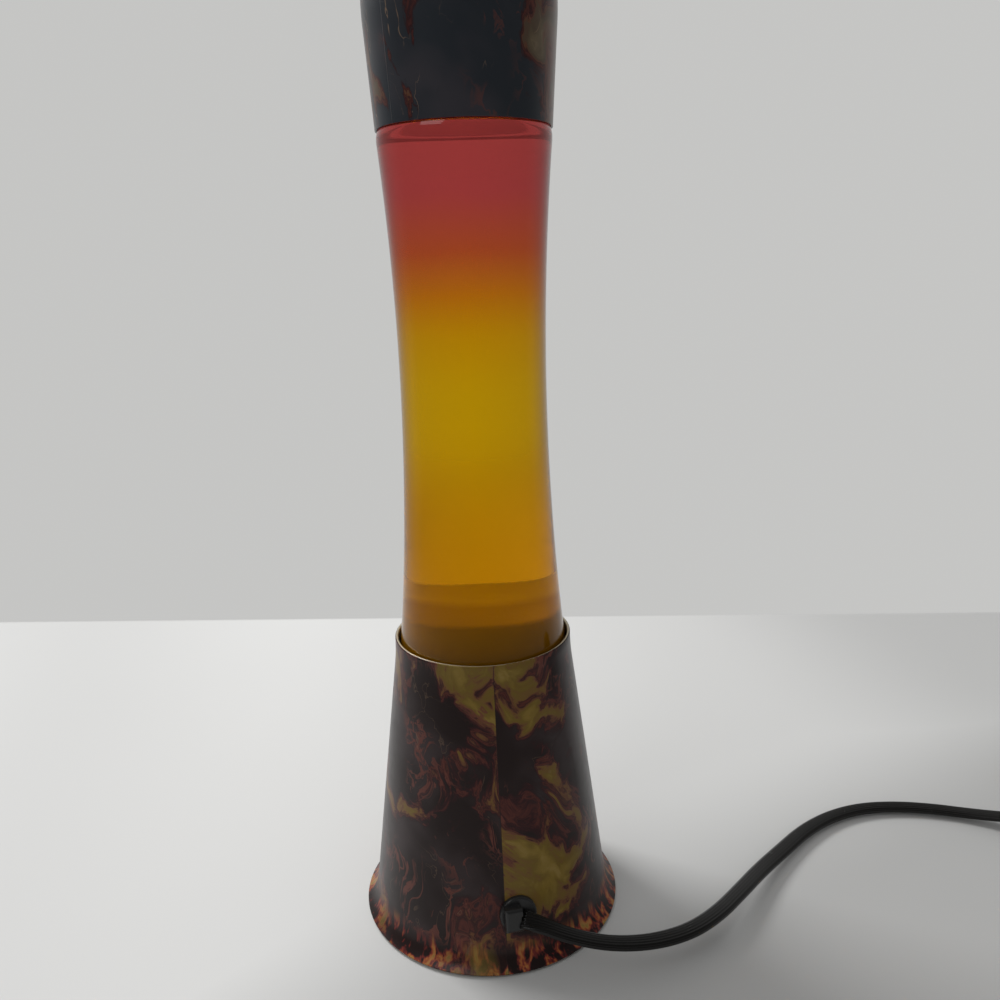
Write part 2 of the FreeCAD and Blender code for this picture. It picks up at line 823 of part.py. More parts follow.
def flank_arc(inset, round_centre, round_radius):
    """The wall's flank between a round and the waist, and the point where it meets the round."""
    radius = flank_radius(round_centre, round_radius)
    centre = (waist_radius + radius, waist_height)
    meet = between(centre, round_centre, radius + inset)
    waist = (waist_radius - inset, waist_height)
    half = between(centre, ((meet[0] + waist[0]) / 2, (meet[1] + waist[1]) / 2), radius + inset)
    return arc_through(side(*meet), side(*half), side(*waist)), meet


def bottle_line(inset):
    """One side of the glass wall, from the middle of the bottom up to the top of the neck."""
    floor = globe_foot_height + inset
    heel_centre = (heel_radius - heel_round, globe_foot_height + heel_round)
    low_flank, low = flank_arc(inset, blend_centre, lower_blend)
    high_flank, high = flank_arc(inset, shoulder_centre, shoulder_round)
    blend_end = (blend_centre[0] + lower_blend - inset, blend_centre[1])
    blend_turn = math.degrees(math.atan2(low[1] - blend_centre[1], low[0] - blend_centre[0]))
    shoulder_turn = math.degrees(math.atan2(high[1] - shoulder_centre[1], high[0] - shoulder_centre[0]))
    flank = (shoulder_centre[0] + (shoulder_round - inset) * shoulder_normal[0],
             shoulder_centre[1] + (shoulder_round - inset) * shoulder_normal[1])
    neck_turn = (neck_centre[0] - (neck_round + inset) * shoulder_normal[0],
                 neck_centre[1] - (neck_round + inset) * shoulder_normal[1])
    neck_foot = (neck_radius - inset, neck_centre[1])
    rise = punt_rise * (1 - (0.5) ** 2)
    return [arc_through(side(0, floor + punt_rise), side(punt_radius / 2, floor + rise), side(punt_radius, floor)),
            line(side(punt_radius, floor), side(heel_centre[0], floor)),
            centred_arc(heel_centre, heel_round - inset, -90, 0),
            line(side(heel_radius - inset, heel_centre[1]), side(*blend_end)),
            centred_arc(blend_centre, lower_blend - inset, 0, blend_turn),
            low_flank, high_flank,
            centred_arc(shoulder_centre, shoulder_round - inset, shoulder_turn, shoulder_angle),
            line(side(*flank), side(*neck_turn)),
            centred_arc(neck_centre, neck_round + inset, 180 + shoulder_angle, 180),
            line(side(*neck_foot), side(neck_radius - inset, neck_top))]


def bottle_filled(inset):
    floor = globe_foot_height + inset + punt_rise
    edges = bottle_line(inset)
    edges += [line(side(neck_radius - inset, neck_top), side(0, neck_top)), line(side(0, neck_top), side(0, floor))]
    return turned(edges)


def globe_glass():
    floor = globe_foot_height + punt_rise
    edges = bottle_line(0) + bottle_line(glass_wall)
    edges += [line(side(neck_radius, neck_top), side(neck_radius - glass_wall, neck_top)),
              line(side(0, floor), side(0, floor + glass_wall))]
    glass = turned(edges)
    finish = ring(neck_radius + finish_bead, neck_radius - glass_wall / 2, neck_top - finish_height, neck_top)
    return glass.fuse(finish).removeSplitter()


wax_top = globe_foot_height + wax_depth
liquid_top = shoulder_height + liquid_rise
cap_edge_height = shoulder_height + cap_edge_rise


def slab(low, high):
    return cylinder(2 * foot_radius, high - low, (0, 0, low))


heater_low = globe_foot_height + glass_wall


def wax():
    body = bottle_filled(glass_wall + fluid_gap).common(slab(0, wax_top))
    reach = heater_wire / 2 + heater_gap
    top = heater_low + heater_turns * heater_pitch + heater_wire + heater_gap
    groove = ring(heater_radius + reach, heater_radius - reach, 0, top)
    return body.cut(groove)


def liquid():
    return bottle_filled(glass_wall + fluid_gap).common(slab(wax_top + fluid_gap, liquid_top))


def heater_coil():
    places, headings = [], []
    rise = heater_pitch / 2
    for k in range(2 * heater_turns + 1):
        angle = math.pi * k
        z = heater_low + heater_wire / 2 + k * rise
        places.append(Vec(heater_radius * math.cos(angle), heater_radius * math.sin(angle), z))
        headings.append(Vec(-math.sin(angle) * heater_radius, math.cos(angle) * heater_radius,
                            rise / math.pi).normalize())
    return wound(places, headings, heater_wire, "heater coil")


def crown_liner():
    return cylinder(neck_radius + finish_bead + crown_gap + crown_wall - crown_corner, liner_thickness,
                    (0, 0, neck_top))


def pleated_ring(radius, depth, height):
    """A closed line round the axis whose arcs swing out and in by depth in turn."""
    edges = []
    for k in range(2 * crown_flutes):
        start = 180.0 * k / crown_flutes
        swing = depth if k % 2 else -depth
        middle = on_circle(radius + swing, start + 90.0 / crown_flutes, height)
        edges.append(arc_through(on_circle(radius, start, height), middle,
                                 on_circle(radius, start + 180.0 / crown_flutes, height)))
    return Part.Wire(edges)


def crown_cap():
    """A pressed crown closure: a flat top with a rounded corner over a fluted, flaring skirt."""
    radius = neck_radius + finish_bead + crown_gap + crown_wall
    top = neck_top + liner_thickness + crown_wall
    bend, low = top - crown_corner, top - crown_height

    def skin(inset):
        corner = crown_corner - inset
        return [line(side(0, top - inset), side(radius - crown_corner, top - inset)),
                centred_arc((radius - crown_corner, bend), corner, 90, 0)]

    edges = skin(0) + skin(crown_wall)
    edges += [line(side(0, top), side(0, top - crown_wall)),
              line(side(radius, bend), side(radius - crown_wall, bend))]

    def skirt(inset):
        rings = [pleated_ring(radius - inset, 0, bend), pleated_ring(radius + crown_flare - inset, flute_depth, low)]
        return Part.makeLoft(rings, True, True)

    return turned(edges).fuse(skirt(0).cut(skirt(crown_wall)))


# Top cap

def cap_shell():
    """A spun cap, a cone under a dome, with its edge hemmed inwards over the globe's shoulder."""
    angle = math.radians(cap_cone_angle)
    cone_end = (cap_edge_radius + cap_cone_height * math.tan(angle), cap_edge_height + cap_cone_height)
    centre = (cone_end[0] - cap_turn_radius * math.cos(angle), cone_end[1] + cap_turn_radius * math.sin(angle))
    above = cap_edge_height - shoulder_centre[1]
    hem_radius = shoulder_centre[0] + math.sqrt((shoulder_round + cap_seat_gap) ** 2 - above ** 2)
    hem_top = cap_edge_height + cap_hem_height

    def skin(inset, low):
        radius = cap_turn_radius - inset
        end = (centre[0] + radius * math.cos(angle), centre[1] - radius * math.sin(angle))
        edge = end[0] - (end[1] - low) * math.tan(angle)
        return edge, [line(side(edge, low), side(*end)),
                      centred_arc(centre, radius, -cap_cone_angle, 0),
                      dome(centre[0] + radius, cap_dome_height - inset, centre[1])]

    edge, outside = skin(0, cap_edge_height)
    inner_edge, inside = skin(cap_wall, hem_top)
    apex = centre[1] + cap_dome_height
    edges = outside + inside + [
        line(side(edge, cap_edge_height), side(hem_radius, cap_edge_height)),
        line(side(hem_radius, cap_edge_height), side(hem_radius, hem_top)),
        line(side(hem_radius, hem_top), side(inner_edge, hem_top)),
        line(side(0, apex), side(0, apex - cap_wall))]
    return turned(edges)


# Strain relief and the lead inside the base

relief_out = Vec(0, -math.cos(cone_angle), math.sin(cone_angle))
relief_up = Vec(0, math.sin(cone_angle), math.cos(cone_angle))
relief_centre = Vec(0, -cone_radius(relief_height), relief_height)


def relief_cylinder(radius, low, high):
    """A cylinder on the strain relief's axis, between two distances from the cone's surface."""
    return Part.makeCylinder(radius, high - low, relief_centre + relief_out * low, relief_out)


def relief_box(x_low, x_high, reach_low, reach_high, height):
    box = Part.makeBox(x_high - x_low, height, reach_high - reach_low, Vec(x_low, -height / 2, reach_low))
    box.Placement = FreeCAD.Placement(relief_centre, FreeCAD.Rotation(Vec(1, 0, 0), relief_up, relief_out, "ZXY"))
    return box


def strain_relief():
    filled = shell_outside()
    filled += [line(side(rim_radius, collar_top), side(0, collar_top)),
               line(side(0, collar_top), side(0, edge_rise)),
               line(side(0, edge_rise), side(foot_radius, edge_rise))]
    flange = relief_cylinder(relief_flange / 2, -relief_flange_height, relief_flange_height)
    rim = [e for e in flange.Edges if isinstance(e.Curve, Part.Circle)
           and (e.CenterOfMass - relief_centre).dot(relief_out) > relief_flange_height - 1e-6]
    flange = flange.makeFillet(relief_flange_height * 0.5, rim).cut(turned(filled))
    neck = relief_cylinder(relief_hole / 2 - relief_neck_gap, -relief_neck_depth, relief_flange_height / 2)
    top = relief_flange_height + relief_block_reach
    block = relief_box(-relief_block_back, relief_block_front, 0, top, relief_block_side)
    long_edges = [e for e in block.Edges if abs((e.CenterOfMass - relief_centre).dot(relief_out) - top) < 1e-6
                  and e.CenterOfMass.x < relief_block_front - 1e-6]
    block = block.makeFillet(relief_block_round, long_edges)
    start = Vec(*RUN_POINTS[0])
    heading = (Vec(*RUN_POINTS[1]) - start).normalize()
    channel = Part.makeCylinder(lead_size / 2 + relief_lead_gap, relief_flange, start, heading)
    return flange.fuse([neck, block.cut(turned(filled))]).cut(channel).removeSplitter()


def inner_lead():
    start = relief_centre - relief_out * relief_neck_depth
    return Part.makeCylinder(lead_size / 2, inner_lead_length, start, relief_out * -1)


def lead_cores():
    """The two cores, from the end of the lead to the terminal screws."""
    end = relief_centre - relief_out * (relief_neck_depth + inner_lead_length)
    cores = []
    for way in (-1, 1):
        start = end + Vec(way * core_spread, 0, 0)
        first = start - relief_out * 4.2
        target = Vec(way * terminal_spread, -socket_flat - terminal_height, terminal_z)
        last = target - Vec(0, 4.4, 0)
        middle = (first + last) * 0.5 + Vec(way * 0.8, 0, 0)
        cores.append(tube([start, first, middle, last, target], core_size, "core"))
    return cores


# Lead outside the base, its coil and the tie

def lead_run():
    return tube(RUN_POINTS, lead_size, "lead run")


switch_start = Vec(*RUN_POINTS[-1])
switch_heading = (switch_start - Vec(*RUN_POINTS[-2])).normalize()
switch_end = switch_start + switch_heading * switch_length
coil_floor = tie_wall + tie_gap + lead_size / 2
coil_middle = coil_half_turns / 4


def coil_radius(turns):
    """The coil's radius after some turns: it winds in, reverses in half a turn and winds out."""
    away = abs(turns - coil_middle)
    if away < 0.25:
        return coil_outer - coil_pitch * (coil_middle - 0.125) + 2 * coil_pitch * away ** 2
    return coil_outer - coil_pitch * (coil_middle - away)


def coil_slope(turns):
    away = abs(turns - coil_middle)
    steep = coil_pitch * min(1.0, away / 0.25)
    return steep if turns > coil_middle else -steep


def coil_layout():
    places, headings = [], []
    for k in range(coil_half_turns + 1):
        turns = k / 2
        angle = math.radians(coil_start_angle) + math.pi * k
        outward = Vec(math.cos(angle), math.sin(angle), 0)
        onward = Vec(-math.sin(angle), math.cos(angle), 0)
        layer = 0 if turns < coil_middle else 1
        height = coil_floor + layer * coil_layer_rise
        places.append(Vec(coil_x, coil_y, height) + outward * coil_radius(turns))
        headings.append((outward * (coil_slope(turns) / (2 * math.pi)) + onward * coil_radius(turns)).normalize())
    return places, headings


coil_places, coil_headings = coil_layout()
coil_entry = coil_places[0] - coil_headings[0] * lead_size
coil_exit = coil_places[-1] + coil_headings[-1] * lead_size


def lead_coil():
    return wound(coil_places, coil_headings, lead_size, "lead coil")


def lead_link():
    first = switch_end + switch_heading * LINK_FIRST_RUN
    last = coil_entry - coil_headings[0] * LINK_LAST_RUN
    return tube([switch_end, first] + LINK_POINTS + [last, coil_entry], lead_size, "lead link")


def lead_tail():
    first = coil_exit + coil_headings[-1] * TAIL_FIRST_RUN
    return tube([coil_exit, first] + TAIL_POINTS, lead_size, "lead tail")


def coil_tie():
    """A flat band round the bundle of turns."""
    start = (tie_angle - coil_start_angle) / 360.0
    crossings = [coil_radius(start + k) for k in range(coil_half_turns // 2 + 1)]
    low_radius = min(crossings) - lead_size / 2 - tie_gap
    high_radius = max(crossings) + lead_size / 2 + tie_gap
    low = coil_floor - lead_size / 2 - tie_gap
    high = coil_floor + coil_layer_rise + lead_size / 2 + tie_gap
    corner = lead_size / 2 + tie_gap

    def block(grow):
        box = Part.makeBox(high_radius - low_radius + 2 * grow, tie_width, high - low + 2 * grow,
                           Vec(low_radius - grow, -tie_width / 2, low - grow))
        long_edges = [e for e in box.Edges if abs(e.tangentAt(e.FirstParameter).y) > 0.9]
        return box.makeFillet(corner + grow, long_edges)

    band = block(tie_wall).cut(block(0))
    band.rotate(AXIS_FOOT, UP, tie_angle)
    band.translate(Vec(coil_x, coil_y, 0))
    return band


# Switch on the lead, drawn along +X and then set on the lead

def on_lead(shape):
    shape = shape.copy()
    shape.rotate(AXIS_FOOT, UP, math.degrees(math.atan2(switch_heading.y, switch_heading.x)))
    shape.translate(Vec(switch_start.x, switch_start.y, 0))
    return shape


switch_half = switch_height / 2
switch_side = switch_width / 2
wheel_x = switch_length / 2
wheel_y = switch_side - wheel_radius + wheel_proud
slot_half = wheel_thickness / 2 + wheel_gap
cam_radius = switch_side - switch_wall - wheel_y - cam_gap
cavity_reach = wheel_radius + wheel_gap + 1.0


def switch_outline(height):
    """The face of the switch seen from above: slim ends that swell to the wheel's housing."""
    length, end, wide, shoulder = switch_length, switch_end_width / 2, switch_side, switch_shoulder
    neck = shoulder / 3
    edges = []
    for x0, way in ((0, 1), (length, -1)):
        edges.append(line((x0, -end, height), (x0, end, height)))
        for y in (1, -1):
            middle = (x0 + way * (neck + shoulder) / 2, y * (end + wide) / 2, height)
            edges.append(line((x0, y * end, height), (x0 + way * neck, y * end, height)))
            edges.append(tangent_arc((x0 + way * neck, y * end, height), (way, 0, 0), middle))
            edges.append(tangent_arc((x0 + way * shoulder, y * wide, height), (-way, 0, 0), middle))
    for y in (1, -1):
        edges.append(line((shoulder, y * wide, height), (length - shoulder, y * wide, height)))
    return Part.Face(Part.Wire(Part.__sortEdges__(edges)))


def switch_half_shell(low, high, closed_at):
    body = switch_outline(low).extrude(Vec(0, 0, high - low))
    rim = [e for e in body.Edges if abs(e.BoundBox.ZMin - closed_at) < 1e-6 and abs(e.BoundBox.ZMax - closed_at) < 1e-6]
    body = body.makeFillet(switch_round, rim)
    pocket_low = max(low, switch_wall)
    pocket_high = min(high, switch_height - switch_wall)
    pocket = Part.makeBox(2 * cavity_reach, 2 * (switch_side - switch_wall), pocket_high - pocket_low,
                          Vec(wheel_x - cavity_reach, -(switch_side - switch_wall), pocket_low))
    slot = cylinder(wheel_radius + wheel_gap, 2 * slot_half, (wheel_x, wheel_y, switch_half - slot_half))
    return body.cut([pocket, slot])


pin_low = switch_wall - 0.8
pin_high = switch_height - switch_wall + 0.8


def pin_hole():
    return cylinder(wheel_pin_radius, pin_high - pin_low, (wheel_x, wheel_y, pin_low))


def switch_screw_places():
    return [switch_screw_inset, switch_length - switch_screw_inset]


def switch_tray():
    tray = switch_half_shell(0, switch_half, 0)
    boss_top = switch_half - slot_half - cam_height
    tray = tray.fuse(cylinder(wheel_boss_radius, boss_top - switch_wall, (wheel_x, wheel_y, switch_wall)))
    cuts = [pin_hole()]
    for x in switch_screw_places():
        cuts.append(cylinder(switch_screw_radius + hole_clearance, switch_half, (x, 0, 0)))
        cuts.append(cylinder(switch_screw_head + hole_clearance, 2.0, (x, 0, 0)))
    return tray.cut(cuts)


def switch_lid():
    lid = switch_half_shell(switch_half, switch_height, switch_height)
    boss_low = switch_half + slot_half
    lid = lid.fuse(cylinder(wheel_boss_radius, switch_height - switch_wall - boss_low, (wheel_x, wheel_y, boss_low)))
    cuts = [pin_hole()]
    for x in switch_screw_places():
        cuts.append(cylinder(switch_screw_radius + hole_clearance, switch_half * 0.6, (x, 0, switch_half)))
    return lid.cut(cuts)


def switch_screws():
    screws = []
    for x in switch_screw_places():
        head = cylinder(switch_screw_head, 1.4, (x, 0, 0.6))
        screws.append(head.fuse(cylinder(switch_screw_radius, switch_half * 1.5 - 2.0, (x, 0, 2.0))).removeSplitter())
    return screws


def thumbwheel():
    """The serrated wheel with the square cam under it."""
    low = switch_half - wheel_thickness / 2
    wheel = cylinder(wheel_radius, wheel_thickness, (wheel_x, wheel_y, low))
    notch = math.pi * wheel_radius / wheel_teeth * 0.55
    notches = []
    for degrees in around(wheel_teeth, 180.0 / wheel_teeth):
        x, y, _ = on_circle(wheel_radius + notch * 0.35, degrees)
        notches.append(cylinder(notch, wheel_thickness, (wheel_x + x, wheel_y + y, low)))
    wheel = wheel.cut(notches)
    half = cam_radius * 0.8
    cam = Part.makeBox(2 * half, 2 * half, cam_height, Vec(wheel_x - half, wheel_y - half, low - cam_height))
    cam = cam.common(cylinder(cam_radius, cam_height, (wheel_x, wheel_y, low - cam_height)))
    wheel = wheel.fuse(cam).removeSplitter()
    return wheel.cut(cylinder(wheel_pin_radius + wheel_bore_gap, 2 * switch_height, (wheel_x, wheel_y, -switch_half)))


def wheel_pin():
    return pin_hole()


def switch_contacts():
    """A springy strip beside the cam and the fixed strip that it meets."""
    spring_y = wheel_y - cam_radius - 0.4 - contact_strip
    fixed_y = -(switch_side - switch_wall) + 3.0
    height = switch_half - slot_half - 0.4 - switch_wall
    strips = []
    for y, way in ((spring_y, -1), (fixed_y, 1)):
        x_end = wheel_x + way * (cavity_reach - 0.4)
        x_far = wheel_x - way * (cavity_reach - 4.0)
        flat = Part.makeBox(abs(x_end - x_far), contact_strip, height, Vec(min(x_end, x_far), y, switch_wall))
        tab = Part.makeBox(contact_strip, 2.5, height,
                           Vec(x_end - (contact_strip if way > 0 else 0), y - 2.5 + contact_strip, switch_wall))
        strips.append(flat.fuse(tab).removeSplitter())
    return strips


# Plug, drawn along +X and then set on the end of the lead

plug_start = Vec(*TAIL_POINTS[-1])
plug_heading = (plug_start - Vec(*TAIL_POINTS[-2])).normalize()
plug_length = plug_taper_length + plug_body_length


def on_tail(shape):
    shape = shape.copy()
    shape.rotate(AXIS_FOOT, UP, math.degrees(math.atan2(plug_heading.y, plug_heading.x)))
    shape.translate(Vec(plug_start.x, plug_start.y, plug_start.z))
    return shape


def plug_profile(entry, waist, wide):
    """Half widths of the plug from its entry, through the waist, to its face."""
    shoulder = plug_taper_length + plug_body_length * 0.25
    return [(0, entry), (plug_taper_length, waist), (shoulder, wide), (plug_length, wide * 0.96)]


def plug_blades():
    blades = []
    for way, width in ((-1, blade_narrow), (1, blade_wide)):
        y = way * blade_spacing / 2
        blade = Part.makeBox(blade_embed + blade_length, blade_thickness, width,
                             Vec(plug_length - blade_embed, y - blade_thickness / 2, -width / 2))
        tip = plug_length + blade_length
        corners = [e for e in blade.Edges if abs(e.CenterOfMass.x - tip) < 1e-6
                   and abs(e.tangentAt(e.FirstParameter).y) > 0.9]
        blade = blade.makeFillet(1.2, corners)
        hole = cylinder(blade_hole_radius, 3 * blade_thickness,
                        (tip - blade_hole_inset, y - 1.5 * blade_thickness, 0), Vec(0, 1, 0))
        blades.append(blade.cut(hole))
    return blades


def plug_body():
    top = plug_profile(plug_entry_size / 2, plug_entry_size * 0.62, plug_width / 2)
    flank = plug_profile(plug_entry_size / 2, plug_entry_size * 0.55, plug_thickness / 2)
    reach = plug_width

    def slab_of(profile, place, along):
        corners = [place(x, h) for x, h in profile] + [place(x, -h) for x, h in reversed(profile)]
        return Part.Face(Part.makePolygon(corners + corners[:1])).extrude(along)

    seen_above = slab_of(top, lambda x, h: Vec(x, h, -reach), Vec(0, 0, 2 * reach))
    seen_side = slab_of(flank, lambda x, h: Vec(x, -reach, h), Vec(0, 2 * reach, 0))
    body = seen_above.common(seen_side)
    lengthwise = [e for e in body.Edges if abs(e.tangentAt(e.FirstParameter).x) > 0.5]
    body = body.makeFillet(plug_round, lengthwise)
    pockets = []
    for way, width in ((-1, blade_narrow), (1, blade_wide)):
        pockets.append(Part.makeBox(2 * blade_embed, blade_thickness, width,
                                    Vec(plug_length - blade_embed, way * blade_spacing / 2 - blade_thickness / 2,
                                        -width / 2)))
    return body.cut(pockets)


# Every piece is written to its own file

save("base_shell", base_shell())
save("foot_ring", foot_ring())
save("bottom_plate", bottom_plate())
save_group("plate_screws", plate_screws())
save("socket_bracket", socket_bracket())
save_group("bracket_screws", bracket_screws())
save_group("bracket_nuts", bracket_nuts())
save("threaded_nipple", threaded_nipple())
save("nipple_nut", nipple_nut())
save("socket_body", socket_body())
save("socket_shell", socket_shell())
save("socket_contact", socket_contact())
save_group("terminal_screws", terminal_screws())
save("globe_seat", globe_seat())
save("bulb_glass", bulb_glass())
save("bulb_cap", bulb_cap())
save("bulb_insulator", bulb_insulator())
save("bulb_contact", bulb_contact())
save("bulb_stem", bulb_stem())
save_group("bulb_supports", bulb_supports())
save("bulb_filament", bulb_filament())
save("globe_glass", globe_glass())
save("wax", wax())
save("liquid", liquid())
save("heater_coil", heater_coil())
save("crown_cap", crown_cap())
save("crown_liner", crown_liner())
save("cap_shell", cap_shell())
save("strain_relief", strain_relief())
save("inner_lead", inner_lead())
save_group("lead_cores", lead_cores())
save("lead_run", lead_run())
save("lead_link", lead_link())
save("lead_coil", lead_coil())
save("lead_tail", lead_tail())
save("coil_tie", coil_tie())
save("switch_tray", on_lead(switch_tray()))
save("switch_lid", on_lead(switch_lid()))
save_group("switch_screws", [on_lead(s) for s in switch_screws()])
save("thumbwheel", on_lead(thumbwheel()))
save("wheel_pin", on_lead(wheel_pin()))
save_group("switch_contacts", [on_lead(s) for s in switch_contacts()])
save("plug_body", on_tail(plug_body()))
save_group("plug_blades", [on_tail(s) for s in plug_blades()])

print("thumbwheel axis", on_lead(pin_hole()).CenterOfMass)
print("neck top", round(neck_top, 2), "bulb top", round(bulb_top, 2), "cone angle", round(math.degrees(cone_angle), 3))
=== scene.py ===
import bpy
import bmesh
import math
from mathutils import Matrix, Vector


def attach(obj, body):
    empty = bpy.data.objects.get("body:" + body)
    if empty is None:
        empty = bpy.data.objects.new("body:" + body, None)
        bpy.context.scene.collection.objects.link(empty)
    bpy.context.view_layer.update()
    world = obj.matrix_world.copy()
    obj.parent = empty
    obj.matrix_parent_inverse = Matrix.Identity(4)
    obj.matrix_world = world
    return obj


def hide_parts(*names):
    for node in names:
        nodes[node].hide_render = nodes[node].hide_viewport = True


# Liquid motion lamp: a flared base and a rounded cap in marbled print, a waisted tinted globe
# between them, and a flat two-core lead with a thumbwheel switch, a put-away coil and a plug.
# Lengths are in metres, with +Z up and the origin at the middle of the foot.
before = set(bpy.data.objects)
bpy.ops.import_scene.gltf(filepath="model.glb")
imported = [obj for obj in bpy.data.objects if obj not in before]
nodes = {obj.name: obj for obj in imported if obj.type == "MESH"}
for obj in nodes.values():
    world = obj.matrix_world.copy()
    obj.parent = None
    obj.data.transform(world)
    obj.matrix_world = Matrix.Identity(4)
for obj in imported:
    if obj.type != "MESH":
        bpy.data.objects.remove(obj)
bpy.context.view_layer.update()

FULL_TURN = 2 * math.pi

# Camera, and the level direction in which it looks

EYE = (-0.06915, -0.33986, 0.27069)
SIGHT = (0.2167, 0.9418, -0.2571)
RIGHT_HAND = (0.9723, -0.2318, -0.0298)
LENS = 32.4
SENSOR_WIDTH = 36.0
NEAREST_SEEN = 0.01
HEADING = (0.2243, 0.9745)


def set_camera():
    camera = bpy.data.objects.new("camera", bpy.data.cameras.new("camera"))
    bpy.context.scene.collection.objects.link(camera)
    forward = Vector(SIGHT).normalized()
    up = Vector(RIGHT_HAND).normalized().cross(forward).normalized()
    turn = Matrix((forward.cross(up), up, -forward)).transposed().to_4x4()
    camera.matrix_world = Matrix.Translation(EYE) @ turn
    camera.data.sensor_width = SENSOR_WIDTH
    camera.data.lens = LENS
    camera.data.clip_start = NEAREST_SEEN
    bpy.context.scene.camera = camera


def ahead_and_aside(x, y):
    """How far a place lies ahead along the level heading, and how far to its right."""
    return x * HEADING[0] + y * HEADING[1], x * HEADING[1] - y * HEADING[0]


# Materials are drawn with these two classes

class Flow:
    """A value on its way through a finish. Arithmetic on it adds the nodes that do the sum."""

    def __init__(self, finish, socket):
        self.finish = finish
        self.socket = socket

    def __add__(self, other):
        return self.finish.maths("ADD", self, other)

    def __sub__(self, other):
        return self.finish.maths("SUBTRACT", self, other)

    def __mul__(self, other):
        return self.finish.maths("MULTIPLY", self, other)

    def __radd__(self, other):
        return self.finish.maths("ADD", other, self)

    def __rsub__(self, other):
        return self.finish.maths("SUBTRACT", other, self)

    def __rmul__(self, other):
        return self.finish.maths("MULTIPLY", other, self)

    def size(self):
        return self.finish.maths("ABSOLUTE", self)


class Finish:
    """A material, or the world around the lamp, drawn on a piece's own coordinates."""

    def __init__(self, name, holder=None):
        self.holder = holder or bpy.data.materials.new(name)
        self.holder.use_nodes = True
        self.tree = self.holder.node_tree
        self.tree.nodes.clear()
        self.place = self.node("ShaderNodeTexCoord", out="Object" if holder is None else "Generated")

    def node(self, kind, settings=None, values=None, out=0):
        """Adds a node with its settings, then its sockets' values or links, and gives an output."""
        made = self.tree.nodes.new(kind)
        for name, value in (settings or {}).items():
            if name == "stops":
                self.set_stops(made.color_ramp, value)
            else:
                setattr(made, name, value)
        for name, value in (values or {}).items():
            if isinstance(value, Flow):
                self.tree.links.new(value.socket, made.inputs[name])
            else:
                made.inputs[name].default_value = value
        return Flow(self, made.outputs[out])

    def maths(self, operation, *values):
        return self.node("ShaderNodeMath", {"operation": operation}, dict(enumerate(values)))

    @staticmethod
    def set_stops(ramp, stops):
        while len(ramp.elements) < len(stops):
            ramp.elements.new(0.5)
        for element, (position, colour) in zip(ramp.elements, stops):
            element.position = position
            element.color = (*colour, 1.0)

    def ramp(self, value, stops):
        return self.node("ShaderNodeValToRGB", {"stops": stops}, {0: value})

    def noise(self, place, scale, detail=3.0, roughness=0.5, distortion=0.0, out="Fac"):
        values = {"Vector": place, "Scale": scale, "Detail": detail, "Roughness": roughness,
                  "Distortion": distortion}
        return self.node("ShaderNodeTexNoise", None, values, out)

    def fade(self, value, start, end):
        """0 before start, 1 after end, with a soft passage between."""
        settings = {"interpolation_type": "SMOOTHSTEP", "clamp": True}
        return self.node("ShaderNodeMapRange", settings, {0: value, 1: start, 2: end, 3: 0.0, 4: 1.0})

    def blend(self, amount, first, second):
        """A colour between two, where amount 0 is the first."""
        def colour(value):
            return value if isinstance(value, Flow) else (*value, 1.0)
        values = {0: amount, 6: colour(first), 7: colour(second)}
        return self.node("ShaderNodeMix", {"data_type": "RGBA"}, values, 2)

    def vector(self, operation, *values, out="Vector"):
        return self.node("ShaderNodeVectorMath", {"operation": operation}, dict(enumerate(values)), out)

    def stretched(self, scale, place=None):
        return self.vector("MULTIPLY", place or self.place, scale)

    def swirled(self, place, scale, detail, reach):
        """A place pushed about by noise, by up to half the reach to each side."""
        push = self.vector("SUBTRACT", self.noise(place, scale, detail, out="Color"), (0.5, 0.5, 0.5))
        return self.vector("ADD", place, self.vector("MULTIPLY", push, (reach, reach, reach)))

    def part(self, name, place=None):
        """One coordinate, X, Y or Z."""
        return self.node("ShaderNodeSeparateXYZ", None, {0: place or self.place}, name)

    def from_axis(self):
        """Distance from the lamp's upright axis."""
        return self.vector("LENGTH", self.stretched((1.0, 1.0, 0.0)), out="Value")

    def relief(self, height, depth, strength):
        return self.node("ShaderNodeBump", None, {"Strength": strength, "Distance": depth, "Height": height})

    def skin(self, **sockets):
        """A Principled surface. A socket's name is written with underscores for its spaces."""
        values = {name.replace("_", " "): value for name, value in sockets.items()}
        for name, value in values.items():
            if isinstance(value, tuple) and len(value) == 3:
                values[name] = (*value, 1.0)
        return self.node("ShaderNodeBsdfPrincipled", None, values)

    def finished(self, **sockets):
        return self.ended(self.skin(**sockets))

    def ended(self, shader, kind="ShaderNodeOutputMaterial"):
        end = self.tree.nodes.new(kind)
        self.tree.links.new(shader.socket, end.inputs["Surface"])
        return self.holder


def moulded(name, colour, rough, grain=900.0, depth=0.00006):
    """Moulded plastic or rubber: a fine grain and slightly uneven gloss."""
    finish = Finish(name)
    fine = finish.noise(finish.place, grain, 2.0)
    broad = finish.noise(finish.place, 60.0, 3.0)
    tone = finish.blend(broad, tuple(c * 0.75 for c in colour), tuple(c * 1.3 for c in colour))
    return finish.finished(Base_Color=tone, Roughness=rough + (broad - 0.5) * 0.2,
                          Normal=finish.relief(fine, depth, 0.35))


def metal(name, colour, rough):
    """Bare or plated metal: drawn or stamped, with dull patches."""
    finish = Finish(name)
    broad = finish.noise(finish.place, 90.0, 4.0, 0.6)
    fine = finish.noise(finish.place, 400.0, 3.0)
    tone = finish.blend(broad, tuple(c * 0.7 for c in colour), colour)
    return finish.finished(Base_Color=tone, Metallic=1.0, Roughness=rough + (broad - 0.5) * 0.25,
                          Normal=finish.relief(fine, 0.00004, 0.3))


# Print of the base and the cap: generic marbling, of dark ground with rust and olive clouds

